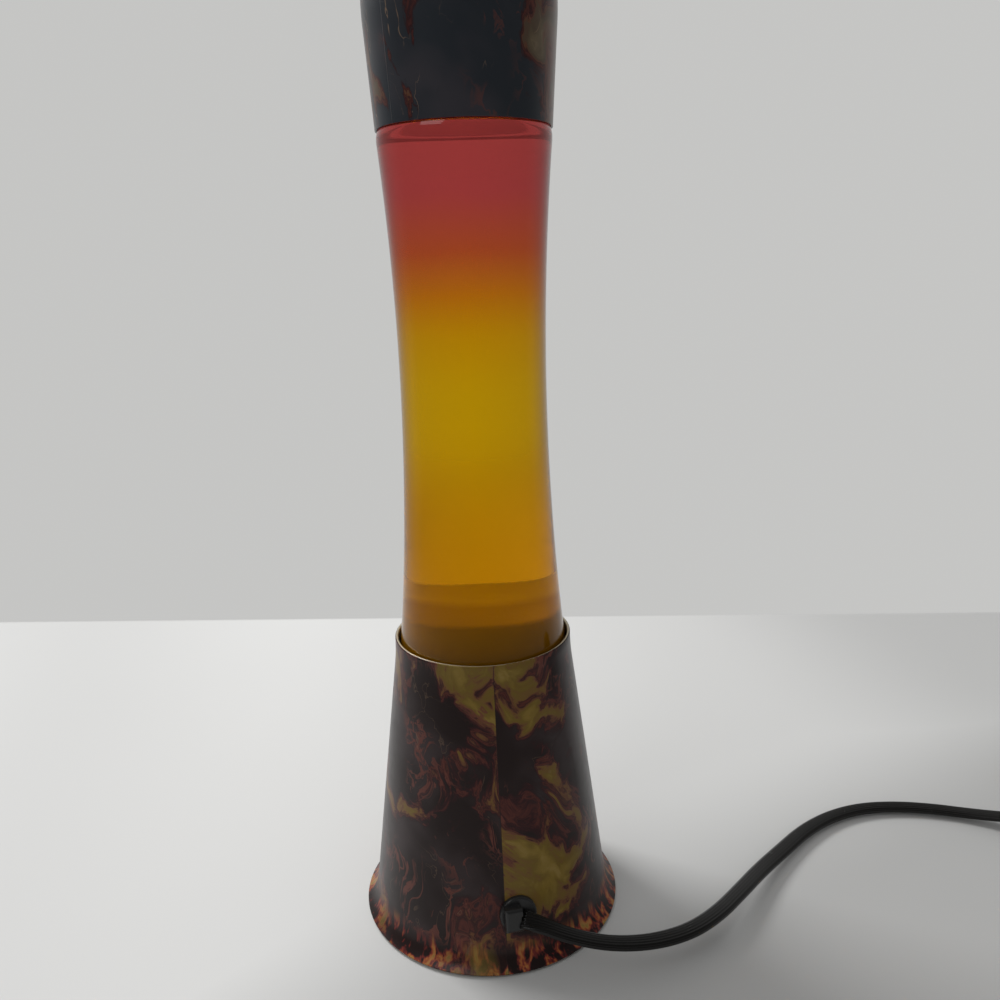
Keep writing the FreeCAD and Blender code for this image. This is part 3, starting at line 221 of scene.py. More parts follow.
CLOUD_RIM = [(0.48, (0.030, 0.008, 0.009)), (0.52, (0.085, 0.022, 0.016)),
             (0.55, (0.030, 0.010, 0.010)), (0.59, (0.105, 0.040, 0.020))]
CLOUD_STOPS = (0.63, 0.70, 0.82, 1.00)
RUST_STRAND = (0.120, 0.036, 0.026)
PALE_VEIN = (0.220, 0.140, 0.085)
FLAMES = [(0.52, (0.140, 0.020, 0.016)), (0.57, (0.270, 0.075, 0.020)), (0.62, (0.300, 0.140, 0.040)),
          (0.70, (0.170, 0.125, 0.025)), (1.00, (0.200, 0.150, 0.035))]
FLAMES_END = (0.0060, 0.0140)
SEAM_SHADOW = (0.012, 0.008, 0.008)
BARE_METAL_AND_HIGHLIGHT = (0.56, 0.49, 0.34)


def round_the_seam(finish, degrees):
    """The way round the axis in radians, which jumps by a full turn at the seam."""
    x, y = finish.part("X"), finish.part("Y")
    back = math.radians(degrees + 180.0)
    ahead = x * math.cos(back) + y * math.sin(back)
    aside = y * math.cos(back) - x * math.sin(back)
    return finish.maths("ARCTAN2", aside, ahead)


def facing_out(finish):
    """Above 0 where a surface faces away from the axis, and below 0 on the inside of a shell."""
    normal = finish.node("ShaderNodeNewGeometry", out="Normal")
    return finish.vector("DOT_PRODUCT", normal, finish.stretched((1.0, 1.0, 0.0)), out="Value")


def clouded(finish, place, bent, ground, dusk, clouds, cloud_level):
    """Rust-rimmed clouds on a dark ground, which is misted with a second dark tone."""
    wisp = finish.noise(bent, 150.0, 5.0, 0.62, 0.9)
    level = finish.noise(bent, 30.0, 3.0, 0.5) + (wisp - 0.5) * 0.16 - cloud_level
    tones = [(0.00, ground), (0.42, ground), *CLOUD_RIM, *zip(CLOUD_STOPS, clouds)]
    printed = finish.ramp(level * 2.4 + 0.5, tones)
    mist = finish.fade(finish.noise(place, 38.0, 2.0), 0.42, 0.68)
    return finish.blend(finish.fade(level, 0.02, -0.06) * mist * 0.8, printed, dusk)


def streaked(finish, place, bent, printed, strands, veins):
    """Rust strands and pale thin veins over a print, each in patches and by its share."""
    strand = 1.0 - finish.fade((finish.noise(bent, 62.0, 4.0, 0.6, 0.5) - 0.53).size(), 0.004, 0.040)
    patches = finish.fade(finish.noise(place, 33.0, 1.0), 0.49, 0.60)
    printed = finish.blend(strand * patches * strands, printed, RUST_STRAND)
    vein = 1.0 - finish.fade((finish.noise(bent, 34.0, 3.0, 0.55) - 0.5).size(), 0.0, 0.006)
    patches = finish.fade(finish.noise(place, 45.0, 1.0), 0.50, 0.62)
    return finish.blend(vein * patches * veins, printed, PALE_VEIN)


def flamed(finish, place, printed, ground):
    """Short upright flame streaks round the foot, in patches."""
    streak = finish.noise(finish.stretched((3.4, 3.4, 0.5), place), 62.0, 3.0, 0.6, 0.4)
    flames = finish.ramp(streak, [(0.00, ground), (0.46, ground), *FLAMES])
    low = 1.0 - finish.fade(finish.part("Z"), *FLAMES_END)
    patches = finish.fade(finish.noise(place, 18.0, 1.0), 0.40, 0.58)
    return finish.blend(low * patches, printed, flames)


def marbled_print(name, shift, ground, dusk, clouds, cloud_level, strands, veins, seam, bare_and_highlight_side,
                  coat, flames):
    """A printed film with a lapped seam. Where a surface faces in, it is bare metal; on the base's lip its
    pale cream tone is partly a painted highlight.
    """
    finish = Finish(name)
    around = round_the_seam(finish, seam)
    lift = around * 0.012 + shift[2]
    drift = finish.node("ShaderNodeCombineXYZ", None, {0: shift[0], 1: shift[1], 2: lift})
    place = finish.vector("ADD", finish.place, drift)
    bent = finish.swirled(finish.stretched((1.0, 1.0, 0.72), place), 26.0, 2.0, 0.06)
    bent = finish.swirled(bent, 110.0, 3.0, 0.016)
    printed = clouded(finish, place, bent, ground, dusk, clouds, cloud_level)
    printed = streaked(finish, place, bent, printed, strands, veins)
    if flames:
        printed = flamed(finish, place, printed, ground)
    edge = 1.0 - finish.fade((around.size() - math.pi).size(), 0.001, 0.006)
    printed = finish.blend(edge * 0.7, printed, SEAM_SHADOW)
    # Bare metal where a surface faces in; on the base's lip its pale cream tone is partly a painted
    # highlight.
    bare = 1.0 - finish.fade(facing_out(finish), *bare_and_highlight_side)
    printed = finish.blend(bare, printed, BARE_METAL_AND_HIGHLIGHT)
    film = finish.noise(finish.place, 240.0, 3.0)
    lap = finish.fade(around, math.pi - 0.012, math.pi)
    return finish.finished(Base_Color=printed, Metallic=bare * 0.6, Roughness=0.34 + (film - 0.5) * 0.12,
                           Coat_Weight=coat * (1.0 - bare), Coat_Roughness=0.1, Specular_IOR_Level=0.2,
                           Normal=finish.relief(film * 0.06 + lap, 0.0002, 0.5))


# Globe: tinted glass full of clear liquid, seen as one lens, and the wax in it

LIQUID_LEVEL = 0.3155
LEVEL_RADIUS = 0.030
TINT_FOOT = 0.095
TINT_TOP = 0.345
AMBER = (0.67, 0.285, 0.001)
YELLOW = (0.84, 0.480, 0.001)
RED = (0.60, 0.075, 0.072)
TINTS = [(0.00, AMBER), (0.24, AMBER), (0.34, (0.73, 0.345, 0.001)), (0.44, YELLOW), (0.52, YELLOW),
         (0.60, (0.81, 0.395, 0.001)), (0.66, (0.75, 0.240, 0.006)), (0.72, (0.64, 0.108, 0.028)),
         (0.80, RED), (1.00, RED)]
# Shares and tone of the painted shade in rings at the liquid's level
LEVEL_SHADE_RINGS = [(0.00, 0.50), (0.50, 0.60), (0.58, 0.00), (0.64, 0.00), (0.70, 0.95), (0.88, 0.90),
               (0.95, 0.00)]
LEVEL_SHADE_TONE = (0.13, 0.06, 0.07)
WAX_TOP = 0.1382
WAX_SAG = 3.6


def painted_level_shade(finish):
    """Painted shade: dark rings on the liquid's level where it is seen from below, which ripple a little."""
    upright = finish.part("Z", finish.node("ShaderNodeNewGeometry", out="Normal")).size()
    height = finish.part("Z")
    above = finish.fade(height, LIQUID_LEVEL - 0.0010, LIQUID_LEVEL - 0.0003)
    below = 1.0 - finish.fade(height, LIQUID_LEVEL + 0.0003, LIQUID_LEVEL + 0.0009)
    ripple = (finish.noise(finish.stretched((30.0, 90.0, 30.0)), 1.0, 2.0) - 0.5) * 0.006
    rings = finish.ramp((finish.from_axis() + ripple) * (1.0 / LEVEL_RADIUS),
                        [(at, (share, share, share)) for at, share in LEVEL_SHADE_RINGS])
    return finish.fade(upright, 0.90, 0.98) * above * below * rings


def tinted_glass():
    """Glass with a see-through colour that goes from amber through yellow to red at the top, and a dark film
    of painted shade in rings at the liquid's level.
    """
    finish = Finish("tinted_glass")
    height = finish.part("Z") + (finish.noise(finish.place, 22.0, 2.0) - 0.5) * 0.008
    along = finish.node("ShaderNodeMapRange", None, {0: height, 1: TINT_FOOT, 2: TINT_TOP, 3: 0.0, 4: 1.0})
    glass = finish.skin(Base_Color=finish.ramp(along, TINTS), Roughness=0.008, IOR=1.42,
                        Transmission_Weight=0.85)
    # A dark film mixed in at the liquid's level as painted shade.
    film = finish.skin(Base_Color=LEVEL_SHADE_TONE, Roughness=0.3)
    values = {0: painted_level_shade(finish), 1: glass, 2: film}
    return finish.ended(finish.node("ShaderNodeMixShader", None, values))


def clear_glass():
    finish = Finish("clear_glass")
    haze = finish.noise(finish.place, 150.0, 2.0)
    return finish.finished(Base_Color=(0.97, 0.98, 0.98), Roughness=haze * 0.04, IOR=1.45,
                           Transmission_Weight=1.0)


def cold_wax():
    """Wax with painted shade on its side below the rim, and a painted highlight on the far part of its top.
    """
    finish = Finish("cold_wax")
    lump = finish.noise(finish.place, 55.0, 4.0, 0.55)
    fine = finish.noise(finish.place, 420.0, 3.0)
    height = finish.part("Z")
    tone = finish.blend(lump, (0.46, 0.39, 0.24), (0.61, 0.53, 0.34))
    # Painted shade: the wax's side goes darker below the rim.
    low = 1.0 - finish.fade(height, 0.118, WAX_TOP - 0.0012)
    tone = finish.blend(low, tone, (0.17, 0.13, 0.09))
    # Painted highlight: the far part of the wax's top is painted pale.
    ahead, aside = ahead_and_aside(finish.part("X"), finish.part("Y"))
    edge = (finish.noise(finish.place, 60.0, 2.0) - 0.5) * 0.006
    far = finish.fade(ahead - aside * aside * 20.0 + edge, -0.010, 0.004)
    painted_top_highlight = finish.blend(far, (0.60, 0.47, 0.22), (1.00, 0.93, 0.50))
    top = finish.fade(height + aside * aside * WAX_SAG, WAX_TOP - 0.0012, WAX_TOP - 0.0004)
    return finish.finished(Base_Color=finish.blend(top, tone, painted_top_highlight), Roughness=0.5,
                           Normal=finish.relief(lump + fine * 0.15, 0.0012, 0.5))


def supply_lead():
    finish = Finish("supply_lead")
    fine = finish.noise(finish.place, 700.0, 2.0)
    dust = finish.fade(finish.noise(finish.place, 75.0, 5.0, 0.7), 0.55, 0.75)
    tone = finish.blend(dust * 0.35, (0.006, 0.0055, 0.005), (0.022, 0.020, 0.018))
    return finish.finished(Base_Color=tone, Roughness=0.22 + dust * 0.15, Specular_IOR_Level=0.28,
                           Normal=finish.relief(fine, 0.00005, 0.3))


# Turned pieces

CREASE_ANGLE = math.radians(35.0)


class Outline:
    """One side of a turned piece, drawn by straight runs and arcs and then spun about the axis."""

    def __init__(self, radius, height):
        self.mesh = bmesh.new()
        self.tip = self.mesh.verts.new((radius, 0.0, height))

    def line(self, radius, height, steps=1):
        start = self.tip.co.copy()
        end = Vector((radius, 0.0, height))
        for step in range(steps):
            made = bmesh.ops.extrude_vert_indiv(self.mesh, verts=[self.tip])
            self.tip = made["verts"][0]
            self.tip.co = start.lerp(end, (step + 1) / steps)

    def arc(self, centre, degrees, steps):
        """Goes on round a centre, anticlockwise where degrees are positive."""
        made = bmesh.ops.spin(self.mesh, geom=[self.tip], cent=(centre[0], 0.0, centre[1]),
                              axis=(0, -1, 0), angle=math.radians(degrees), steps=steps)
        self.tip = [v for v in made["geom_last"] if isinstance(v, bmesh.types.BMVert)][0]

    def spun(self, name, finish, body, steps):
        mesh = self.mesh
        bmesh.ops.spin(mesh, geom=mesh.verts[:] + mesh.edges[:], cent=(0, 0, 0), axis=(0, 0, 1),
                       angle=FULL_TURN, steps=steps, use_merge=True)
        bmesh.ops.remove_doubles(mesh, verts=mesh.verts, dist=1e-6)
        bmesh.ops.recalc_face_normals(mesh, faces=mesh.faces)
        return finished(mesh, name, finish, body)


def finished(mesh, name, finish, body):
    """Turns a bmesh into a smooth-shaded piece of the lamp that rides on a body."""
    data = bpy.data.meshes.new(name)
    mesh.to_mesh(data)
    mesh.free()
    piece = bpy.data.objects.new(name, data)
    bpy.context.scene.collection.objects.link(piece)
    data.materials.append(finish)
    data.shade_smooth()
    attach(piece, body)
    return piece


def smoothed(node, name, finish, body):
    """A merged copy of a CAD piece with its curved faces shaded smooth, in the CAD piece's place."""
    mesh = bmesh.new()
    mesh.from_mesh(nodes[node].data)
    bmesh.ops.remove_doubles(mesh, verts=mesh.verts, dist=2e-6)
    bmesh.ops.dissolve_degenerate(mesh, dist=1e-7, edges=mesh.edges)
    for edge in mesh.edges:
        edge.smooth = len(edge.link_faces) == 2 and edge.calc_face_angle(0.0) < CREASE_ANGLE
    piece = finished(mesh, name, finish, body)
    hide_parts(node)
    return piece


# Globe, as one block of glass and liquid with the air space left out at the top

WALL = 0.002
GLOBE_FOOT = 0.095
PUNT_RADIUS = 0.0225
PUNT_RISE = 0.003
HEEL_RADIUS = 0.0252
HEEL_ROUND = 0.009
BLEND = (-0.0258, 0.1153)
BLEND_ROUND = 0.060
WAIST = (0.0281, 0.2294)
SHOULDER = (0.0217, 0.3128)
SHOULDER_ROUND = 0.010
SLOPE = 50.0
NECK_RADIUS = 0.0126
NECK_ROUND = 0.006
NECK_RISE = 0.014
LIP_OUT = 0.0007
LIP_RISE = 0.0030
LIP_SOFT = 0.0004
MENISCUS = 0.0016


def flank(round_centre, round_radius):
    """Centre of the hollow flank that stands upright at the waist and meets a round."""
    across, rise = WAIST[0] - round_centre[0], WAIST[1] - round_centre[1]
    radius = (across ** 2 + rise ** 2 - round_radius ** 2) / (2 * (round_radius - across))
    return WAIST[0] + radius, WAIST[1]


def angle_from(centre, point):
    return math.degrees(math.atan2(point[1] - centre[1], point[0] - centre[0]))


def on_slope(centre, radius):
    """Where a round meets the slope between shoulder and neck, or its inner face."""
    lean = math.radians(SLOPE)
    return centre[0] + radius * math.cos(lean), centre[1] + radius * math.sin(lean)


def neck_centre():
    """Centre of the hollow round that leads from the slope up into the neck."""
    lean = math.radians(SLOPE)
    start = on_slope(SHOULDER, SHOULDER_ROUND)
    across = NECK_RADIUS + NECK_ROUND
    return across, start[1] + (NECK_ROUND - (across - start[0]) * math.cos(lean)) / math.sin(lean)


def globe_foot(line):
    """The hollow under the globe, its heel and the round up to the flank."""
    punt_radius = (PUNT_RADIUS ** 2 + PUNT_RISE ** 2) / (2 * PUNT_RISE)
    punt_turn = math.degrees(math.asin(PUNT_RADIUS / punt_radius))
    line.arc((0.0, GLOBE_FOOT + PUNT_RISE - punt_radius), -punt_turn, 8)
    line.line(HEEL_RADIUS, GLOBE_FOOT)
    line.arc((HEEL_RADIUS, GLOBE_FOOT + HEEL_ROUND), 90.0, 10)
    line.line(HEEL_RADIUS + HEEL_ROUND, BLEND[1], 3)


def globe_flanks(line):
    """The two hollow flanks, which meet at the waist, and the shoulder above them."""
    lower, upper = flank(BLEND, BLEND_ROUND), flank(SHOULDER, SHOULDER_ROUND)
    line.arc(BLEND, angle_from(BLEND, lower), 6)
    line.arc(lower, 180.0 - angle_from(lower, BLEND) % 360.0, 40)
    line.arc(upper, angle_from(upper, SHOULDER) % 360.0 - 180.0, 30)
    line.arc(SHOULDER, SLOPE - angle_from(SHOULDER, upper), 12)


def globe_neck(line):
    """The slope, the neck and its lip, and the way back down inside to the slope."""
    neck = neck_centre()
    top = neck[1] + NECK_RISE
    line.line(*on_slope(neck, -NECK_ROUND), 2)
    line.arc(neck, -SLOPE, 8)
    line.line(NECK_RADIUS, top - LIP_RISE)
    line.line(NECK_RADIUS + LIP_OUT, top - LIP_RISE + LIP_SOFT)
    line.line(NECK_RADIUS + LIP_OUT, top - LIP_SOFT)
    line.line(NECK_RADIUS + LIP_OUT - LIP_SOFT, top)
    line.line(NECK_RADIUS - WALL, top)
    line.line(NECK_RADIUS - WALL, neck[1], 2)
    line.arc(neck, SLOPE, 6)


def globe_level(line):
    """The shoulder inside, and the liquid's level with its meniscus."""
    inner = SHOULDER_ROUND - WALL
    line.line(*on_slope(SHOULDER, inner), 2)
    wet = math.degrees(math.asin((LIQUID_LEVEL + 0.0020 - SHOULDER[1]) / inner))
    line.arc(SHOULDER, wet - SLOPE, 8)
    line.line(line.tip.co.x - 0.0001, LIQUID_LEVEL + MENISCUS)
    line.arc((line.tip.co.x - MENISCUS, LIQUID_LEVEL + MENISCUS), -90.0, 6)
    line.line(0.0, LIQUID_LEVEL, 6)


def globe():
    line = Outline(0.0, GLOBE_FOOT + PUNT_RISE)
    globe_foot(line)
    globe_flanks(line)
    globe_neck(line)
    globe_level(line)
    made = line.spun("globe_body", tinted_glass(), "globe", 192)
    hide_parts("globe_glass", "liquid")


WAX_FOOT = 0.0973
WAX_HEEL = (0.0252, 0.1040)
WAX_SIDE = (0.0319, 0.1150)
WAX_RIM = (0.0303, 0.1364)
WAX_RIM_ROUND = 0.0014
SAG_START = 0.125


def wax_mass():
    """The cold wax: flat below, with a top that has set a little lower at two sides."""
    line = Outline(0.0, WAX_FOOT)
    line.line(0.0250, WAX_FOOT, 6)
    line.arc(WAX_HEEL, 88.0, 8)
    line.line(*WAX_SIDE, 3)
    line.line(WAX_RIM[0] + WAX_RIM_ROUND, WAX_RIM[1], 8)
    line.arc(WAX_RIM, 90.0, 5)
    line.line(0.0, WAX_TOP, 14)
    made = line.spun("wax_mass", cold_wax(), "globe", 96)
    for vert in made.data.vertices:
        aside = ahead_and_aside(vert.co.x, vert.co.y)[1]
        share = max(0.0, vert.co.z - SAG_START) / (WAX_TOP - SAG_START)
        vert.co.z -= share * WAX_SAG * aside * aside
    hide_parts("wax")


# Supply lead

LEAD_WIDTH = 0.0071
LEAD_THICKNESS = 0.0036
RIDGE_PITCH = 0.00118
RIDGE_DEPTH = 0.2
SECTION_POINTS = 84


def route_curve(name, points, tilts, profile=None):
    curve = bpy.data.curves.new(name, "CURVE")
    curve.dimensions = "3D"
    curve.twist_mode = "Z_UP"
    curve.resolution_u = 8
    spline = curve.splines.new("NURBS")
    spline.points.add(len(points) - 1)
    for point, place, tilt in zip(spline.points, points, tilts):
        point.co = (*place, 1.0)
        point.tilt = math.radians(tilt)
    spline.order_u = 3
    spline.use_endpoint_u = True
    if profile is not None:
        curve.bevel_mode = "OBJECT"
        curve.bevel_object = profile
        curve.use_fill_caps = True
    made = bpy.data.objects.new(name, curve)
    bpy.context.scene.collection.objects.link(made)
    return made


def lead_profile():
    """The flat lead's section: two cores side by side under a skin with fine ridges."""
    curve = bpy.data.curves.new("lead_profile", "CURVE")
    curve.dimensions = "2D"
    spline = curve.splines.new("POLY")
    spline.points.add(SECTION_POINTS - 1)
    for k, point in enumerate(spline.points):
        angle = FULL_TURN * k / SECTION_POINTS
        across = LEAD_WIDTH / 2 * math.cos(angle)
        ridge = 0.5 - 0.5 * math.cos(FULL_TURN * across / RIDGE_PITCH)
        rise = LEAD_THICKNESS / 2 * abs(math.sin(angle)) ** 0.62 * (1.0 - RIDGE_DEPTH * ridge)
        point.co = (across, math.copysign(rise, math.sin(angle)), 0.0, 1.0)
    spline.use_cyclic_u = True
    made = bpy.data.objects.new("lead_profile", curve)
    bpy.context.scene.collection.objects.link(made)
    return made


def mesh_of(curve_object, name):
    bpy.context.view_layer.update()
    graph = bpy.context.evaluated_depsgraph_get()
    data = bpy.data.meshes.new_from_object(curve_object.evaluated_get(graph))
    data.name = name
    return data


def swept_lead(name, points, tilts, replaced, **facts):
    """A stretch of the flat lead along its route."""
    bare = route_curve(name + "_line", points, tilts)
    path = [tuple(v.co) for v in mesh_of(bare, name + "_path").vertices]
    profile = lead_profile()
    dressed = route_curve(name + "_sweep", points, tilts, profile)
    data = mesh_of(dressed, name)
    for spent in (bare, dressed, profile):
        bpy.data.objects.remove(spent)
    mesh = bmesh.new()
    mesh.from_mesh(data)
    bmesh.ops.remove_doubles(mesh, verts=mesh.verts, dist=1e-7)
    bmesh.ops.recalc_face_normals(mesh, faces=mesh.faces)
    piece = finished(mesh, name, lead_finish, "base")
    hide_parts(*replaced)


def millimetres(points):
    return [tuple(c / 1000.0 for c in point) for point in points]


RUN = millimetres([
    (0.8, -52.1, 23.3), (7.5, -55.3, 21.6), (17.5, -61.4, 19.2), (31.0, -66.7, 17.0),
    (48.0, -68.1, 14.9), (65.6, -64.6, 12.9), (82.0, -56.0, 10.9), (98.0, -44.0, 8.6),
    (115.5, -30.3, 5.9), (133.0, -18.8, 4.2), (151.0, -7.6, 3.5), (170.0, 0.0, 2.9),
    (188.5, 2.0, 2.8), (206.0, -1.5, 2.8), (221.5, -8.0, 2.8), (235.0, -16.5, 3.2),
    (246.0, -27.0, 6.0), (256.0, -36.5, 9.0), (264.1, -42.4, 9.0)])
RUN_TILTS = [40, 4, 0, 0, 3, 4, 2, 0, 4, 8, 4, 0, 0, 0, 0, 0, 0, 0, 0]

SWITCH_END = (0.31098, -0.07654, 0.009)
LINK = millimetres([(310.98, -76.54, 9.0), (319.1, -82.4, 9.0), (328.4, -88.5, 7.4), (337.9, -95.6, 5.2)])
TAIL = millimetres([(358.2, -10.2, 10.0), (347.6, -9.4, 8.0), (337.5, -8.6, 8.0)])

COIL_CENTRE = (0.3745, -0.0600)
COIL_OUTER = 0.0460
COIL_PITCH = 0.0061
COIL_TURNS = 5.5
COIL_FLOOR = 0.0040
COIL_RISE = 0.0074
COIL_START = -101.0
POINTS_A_TURN = 16


def coil_radius(turns):
    """Shrinks turn by turn to half way and grows again, with an eased passage of half a turn between."""
    away = abs(turns - COIL_TURNS / 2)
    if away < 0.25:
        return COIL_OUTER - COIL_PITCH * (COIL_TURNS / 2 - 0.125) + 2 * COIL_PITCH * away ** 2
    return COIL_OUTER - COIL_PITCH * (COIL_TURNS / 2 - away)


def coil_points():
    """The turns, wound in on the lower layer and out again on the upper one."""
    points = []
    stretch = 1.0 / math.cos(math.pi / POINTS_A_TURN)
    for k in range(int(COIL_TURNS * POINTS_A_TURN) + 1):
        turns = k / POINTS_A_TURN
        angle = math.radians(COIL_START) + FULL_TURN * turns
        climb = min(1.0, max(0.0, (turns - COIL_TURNS / 2 + 0.25) / 0.5))
        radius = coil_radius(turns) * (1.0 + stretch) / 2
        points.append((COIL_CENTRE[0] + radius * math.cos(angle), COIL_CENTRE[1] + radius * math.sin(angle),
                       COIL_FLOOR + COIL_RISE * climb * climb * (3 - 2 * climb)))
    return points


def set_leads():
    swept_lead("lead_to_switch", RUN, RUN_TILTS, ["lead_run"], exit=RUN[0], length=0.30, far_end="fitting",
               with_pieces=["strain_relief", "switch_tray", "switch_lid", "switch_screws", "thumbwheel",
                            "wheel_pin", "switch_contacts"])
    coil = coil_points()
    points = LINK + coil + TAIL
    tilts = [0, 10, 30, 60] + [90] * len(coil) + [45, 10, 0]
    swept_lead("lead_to_plug", points, tilts, ["lead_link", "lead_coil", "lead_tail"], exit=SWITCH_END,
               length=1.40, far_end="plug", with_pieces=["coil_tie", "plug_body", "plug_blades"])


# Floor, backdrop and light. The room's tones go by degrees from straight ahead, positive to the right

WALL_TONE = (0.560, 0.560, 0.550)
ROOM_SEEN_THROUGH = [
    (-180, 0.50), (-110, 0.46), (-75, 0.40), (-56, 0.28), (-53, 0.03), (-49, 0.03), (-46, 0.50),
    (-20, 0.58), (50, 0.58), (59, 0.06), (71, 0.06), (80, 0.42), (110, 0.46), (180, 0.50)]
ROOM_MIRRORED = [
    (-180, 0.05), (-90, 0.10), (-60, 0.28), (-35, 0.50), (0, 0.56), (35, 0.50), (60, 0.28), (90, 0.10),
    (180, 0.05)]
TABLE_SIZE = 6.0
TABLE_DROP = 0.0002
LIT_PLACE = (0.0, 0.0, 0.15)
WORLD_LIGHT = (0.52, 0.52, 0.52)


def looks(finish):
    """1 where the camera, a gloss or a clear piece looks, 0 where a surface gathers light."""
    return [finish.node("ShaderNodeLightPath", out="Is " + kind + " Ray")
            for kind in ("Camera", "Glossy", "Transmission")]


def round_the_room(finish, x, y, tones):
    """The room's tone by the way round it."""
    ahead, aside = ahead_and_aside(x, y)
    turn = finish.maths("ARCTAN2", aside, ahead)
    stops = [(0.5 + degrees / 360.0, (tone, tone, tone * 0.985)) for degrees, tone in tones]
    return finish.ramp(turn * (1.0 / FULL_TURN) + 0.5, stops)


def room_tone(finish, x, y, gloss):
    """Pale walls with dim corners at the sides as clear pieces show them, and dim sides for a gloss."""
    clear = round_the_room(finish, x, y, ROOM_SEEN_THROUGH)
    return finish.blend(gloss, clear, round_the_room(finish, x, y, ROOM_MIRRORED))


def table_tone(finish, x, y):
    """Pale, with painted shade in front, to the left and to the right."""
    soft = finish.noise(finish.place, 3.0, 3.0)
    pale = finish.blend(soft, (0.62, 0.62, 0.61), (0.66, 0.66, 0.65))
    # Painted shade on the table, darker in front and at the two sides.
    dim = finish.fade(x * 0.25 - y, -0.03, 0.085) * 0.36
    dim = finish.maths("MAXIMUM", dim, finish.fade(x, -0.05, -0.26) * 0.2)
    dim = finish.maths("MAXIMUM", dim, finish.fade(x, 0.20, 0.36) * 0.17)
    return finish.blend(dim, pale, (0.0, 0.0, 0.0))


def set_stage():
    """A pale table top with a plain wall tone behind it, and dimmer ends for the glass to pick up."""
    finish = Finish("pale_table")
    x, y = finish.part("X"), finish.part("Y")
    camera, gloss, through = looks(finish)
    table = finish.skin(Base_Color=table_tone(finish, x, y), Roughness=0.6)
    straight = finish.blend(camera, room_tone(finish, x, y, gloss), WALL_TONE)
    wall = finish.node("ShaderNodeEmission", None, {"Color": straight, "Strength": 1.0})
    distance = finish.from_axis()
    far = finish.fade(distance, 0.15, 0.80) * finish.maths("MAXIMUM", gloss, through)
    wall_line = finish.fade(y + x * 0.288, 0.3235, 0.3275)
    end = finish.maths("MAXIMUM", wall_line, finish.fade(distance, 0.50, 1.10))
    behind = finish.maths("MAXIMUM", end * camera, far)
    surface = finish.ended(finish.node("ShaderNodeMixShader", None, {0: behind, 1: table, 2: wall}))
    mesh = bmesh.new()
    bmesh.ops.create_grid(mesh, x_segments=1, y_segments=1, size=TABLE_SIZE)
    bmesh.ops.translate(mesh, verts=mesh.verts, vec=(0.0, 0.0, -TABLE_DROP))
    data = bpy.data.meshes.new("table_top")
    mesh.to_mesh(data)
    mesh.free()
    data.materials.append(surface)
    table_top = bpy.data.objects.new("table_top", data)
    bpy.context.scene.collection.objects.link(table_top)


def softbox(name, place, size, power):
    """A square light turned to the lamp's middle, which clear pieces don't show."""
    light = bpy.data.lights.new(name, "AREA")
    light.shape = "SQUARE"
    light.size = size
    light.energy = power
    made = bpy.data.objects.new(name, light)
    made.location = place
    made.rotation_mode = "QUATERNION"
    made.rotation_quaternion = (Vector(LIT_PLACE) - Vector(place)).to_track_quat("-Z", "Y")
    made.visible_transmission = False
    bpy.context.scene.collection.objects.link(made)


def set_light():
    world = bpy.data.worlds.new("studio")
    bpy.context.scene.world = world
    finish = Finish("studio", world)
    camera, gloss, through = looks(finish)
    room = room_tone(finish, finish.part("X"), finish.part("Y"), gloss)
    tone = finish.blend(finish.maths("MAXIMUM", gloss, through), WORLD_LIGHT, room)
    tone = finish.blend(camera, tone, WALL_TONE)
    finish.ended(finish.node("ShaderNodeBackground", None, {"Color": tone, "Strength": 1.0}),
                 "ShaderNodeOutputWorld")
    softbox("back_softbox", (-0.7, 0.8, 1.1), 0.5, 16.0)
    softbox("front_softbox", (-0.9, -0.6, 1.2), 0.7, 3.0)


set_camera()
lead_finish = supply_lead()
set_leads()

# Finishes of the pieces

base_print = marbled_print(
    "base_print", shift=(0.31, 0.17, 0.05), ground=(0.0150, 0.0078, 0.0074), dusk=(0.038, 0.026, 0.027),
    clouds=[(0.135, 0.072, 0.020), (0.130, 0.083, 0.014), (0.180, 0.118, 0.022), (0.240, 0.165, 0.050)],
    cloud_level=0.53, strands=0.85, veins=0.25, seam=-96.0, bare_and_highlight_side=(0.006, 0.020), coat=0.1,
    flames=True)
cap_print = marbled_print(
    "cap_print", shift=(0.87, 0.41, 0.63), ground=(0.0200, 0.0240, 0.0305), dusk=(0.040, 0.036, 0.043),
    clouds=[(0.075, 0.045, 0.028), (0.080, 0.056, 0.032), (0.120, 0.088, 0.050), (0.280, 0.200, 0.130)],
    cloud_level=0.60, strands=0.45, veins=0.8, seam=-150.0, bare_and_highlight_side=(-0.006, -0.001), coat=0.26,
    flames=False)
black_plastic = moulded("black_plastic", (0.014, 0.014, 0.014), 0.36)
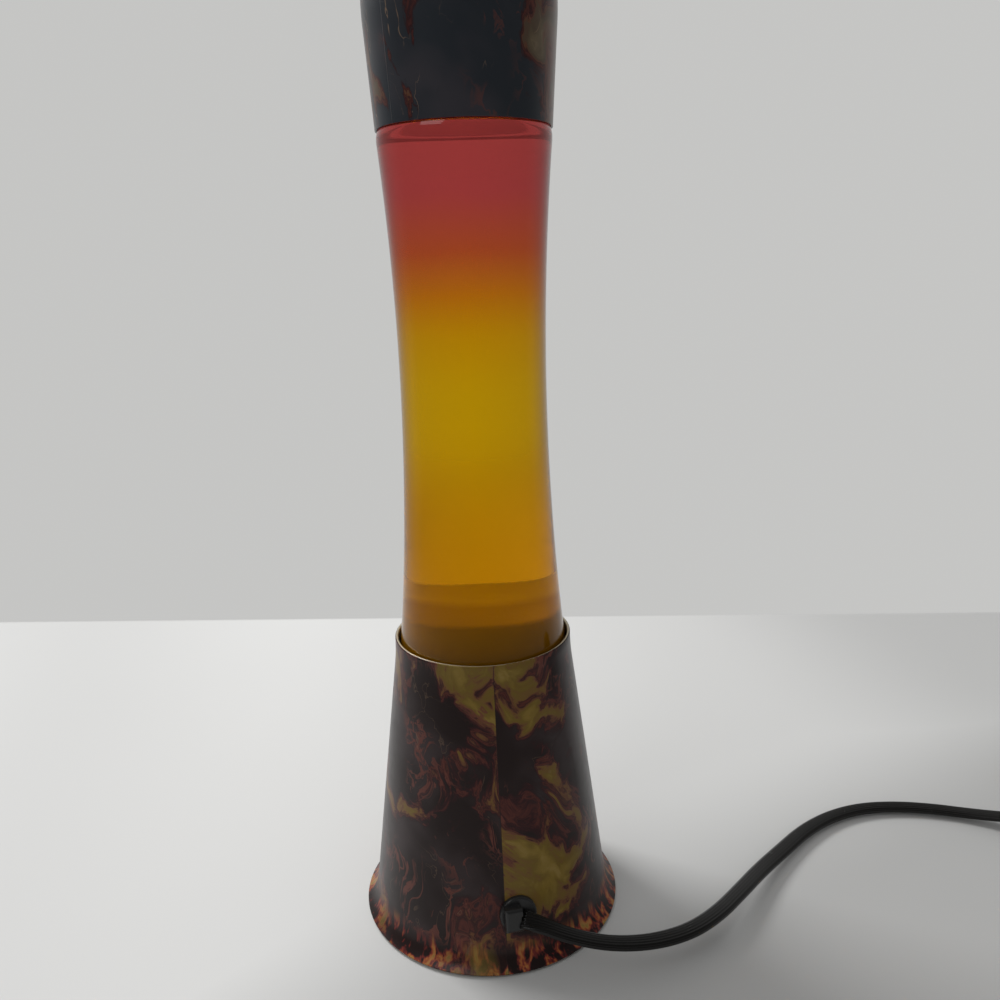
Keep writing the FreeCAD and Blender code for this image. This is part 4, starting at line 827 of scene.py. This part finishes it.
black_rubber = moulded("black_rubber", (0.012, 0.012, 0.012), 0.6)
black_plate = moulded("black_plate", (0.03, 0.03, 0.03), 0.5, grain=300.0, depth=0.00008)
dull_phenolic = moulded("dull_phenolic", (0.02, 0.018, 0.017), 0.45)
white_glaze = moulded("white_glaze", (0.72, 0.70, 0.66), 0.25)
soft_liner = moulded("soft_liner", (0.70, 0.69, 0.66), 0.6)
zinc = metal("zinc_plate", (0.62, 0.61, 0.58), 0.34)
brass = metal("stamped_brass", (0.80, 0.58, 0.27), 0.28)
aluminium = metal("pressed_aluminium", (0.78, 0.78, 0.79), 0.3)
tinplate = metal("tinplate", (0.74, 0.70, 0.60), 0.26)
wire = metal("resistance_wire", (0.42, 0.41, 0.40), 0.4)
bulb_clear = clear_glass()

# New pieces that stand for the large turned ones

smoothed("base_shell", "base_skin", base_print, "base")
smoothed("cap_shell", "cap_skin", cap_print, "cap")
smoothed("foot_ring", "foot_band", black_rubber, "base")
globe()
wax_mass()

# Pieces that keep their CAD shape, and their finishes

KEPT = [
    (black_plastic, ["strain_relief", "switch_tray", "switch_lid", "thumbwheel", "plug_body", "coil_tie"]),
    (black_plate, ["bottom_plate", "globe_seat"]),
    (dull_phenolic, ["socket_body"]),
    (white_glaze, ["bulb_insulator"]),
    (soft_liner, ["crown_liner"]),
    (tinplate, ["crown_cap"]),
    (zinc, ["plate_screws", "bracket_screws", "bracket_nuts", "socket_bracket", "threaded_nipple",
            "nipple_nut", "wheel_pin", "switch_screws", "bulb_contact"]),
    (brass, ["socket_shell", "socket_contact", "terminal_screws", "switch_contacts", "plug_blades"]),
    (aluminium, ["bulb_cap"]),
    (wire, ["bulb_filament", "bulb_supports", "heater_coil"]),
    (lead_finish, ["inner_lead", "lead_cores"]),
    (bulb_clear, ["bulb_glass", "bulb_stem"]),
]
for finish, names in KEPT:
    for name in names:
        nodes[name].data.materials.clear()
        nodes[name].data.materials.append(finish)

set_stage()
set_light()
bpy.context.scene.view_settings.view_transform = "Standard"
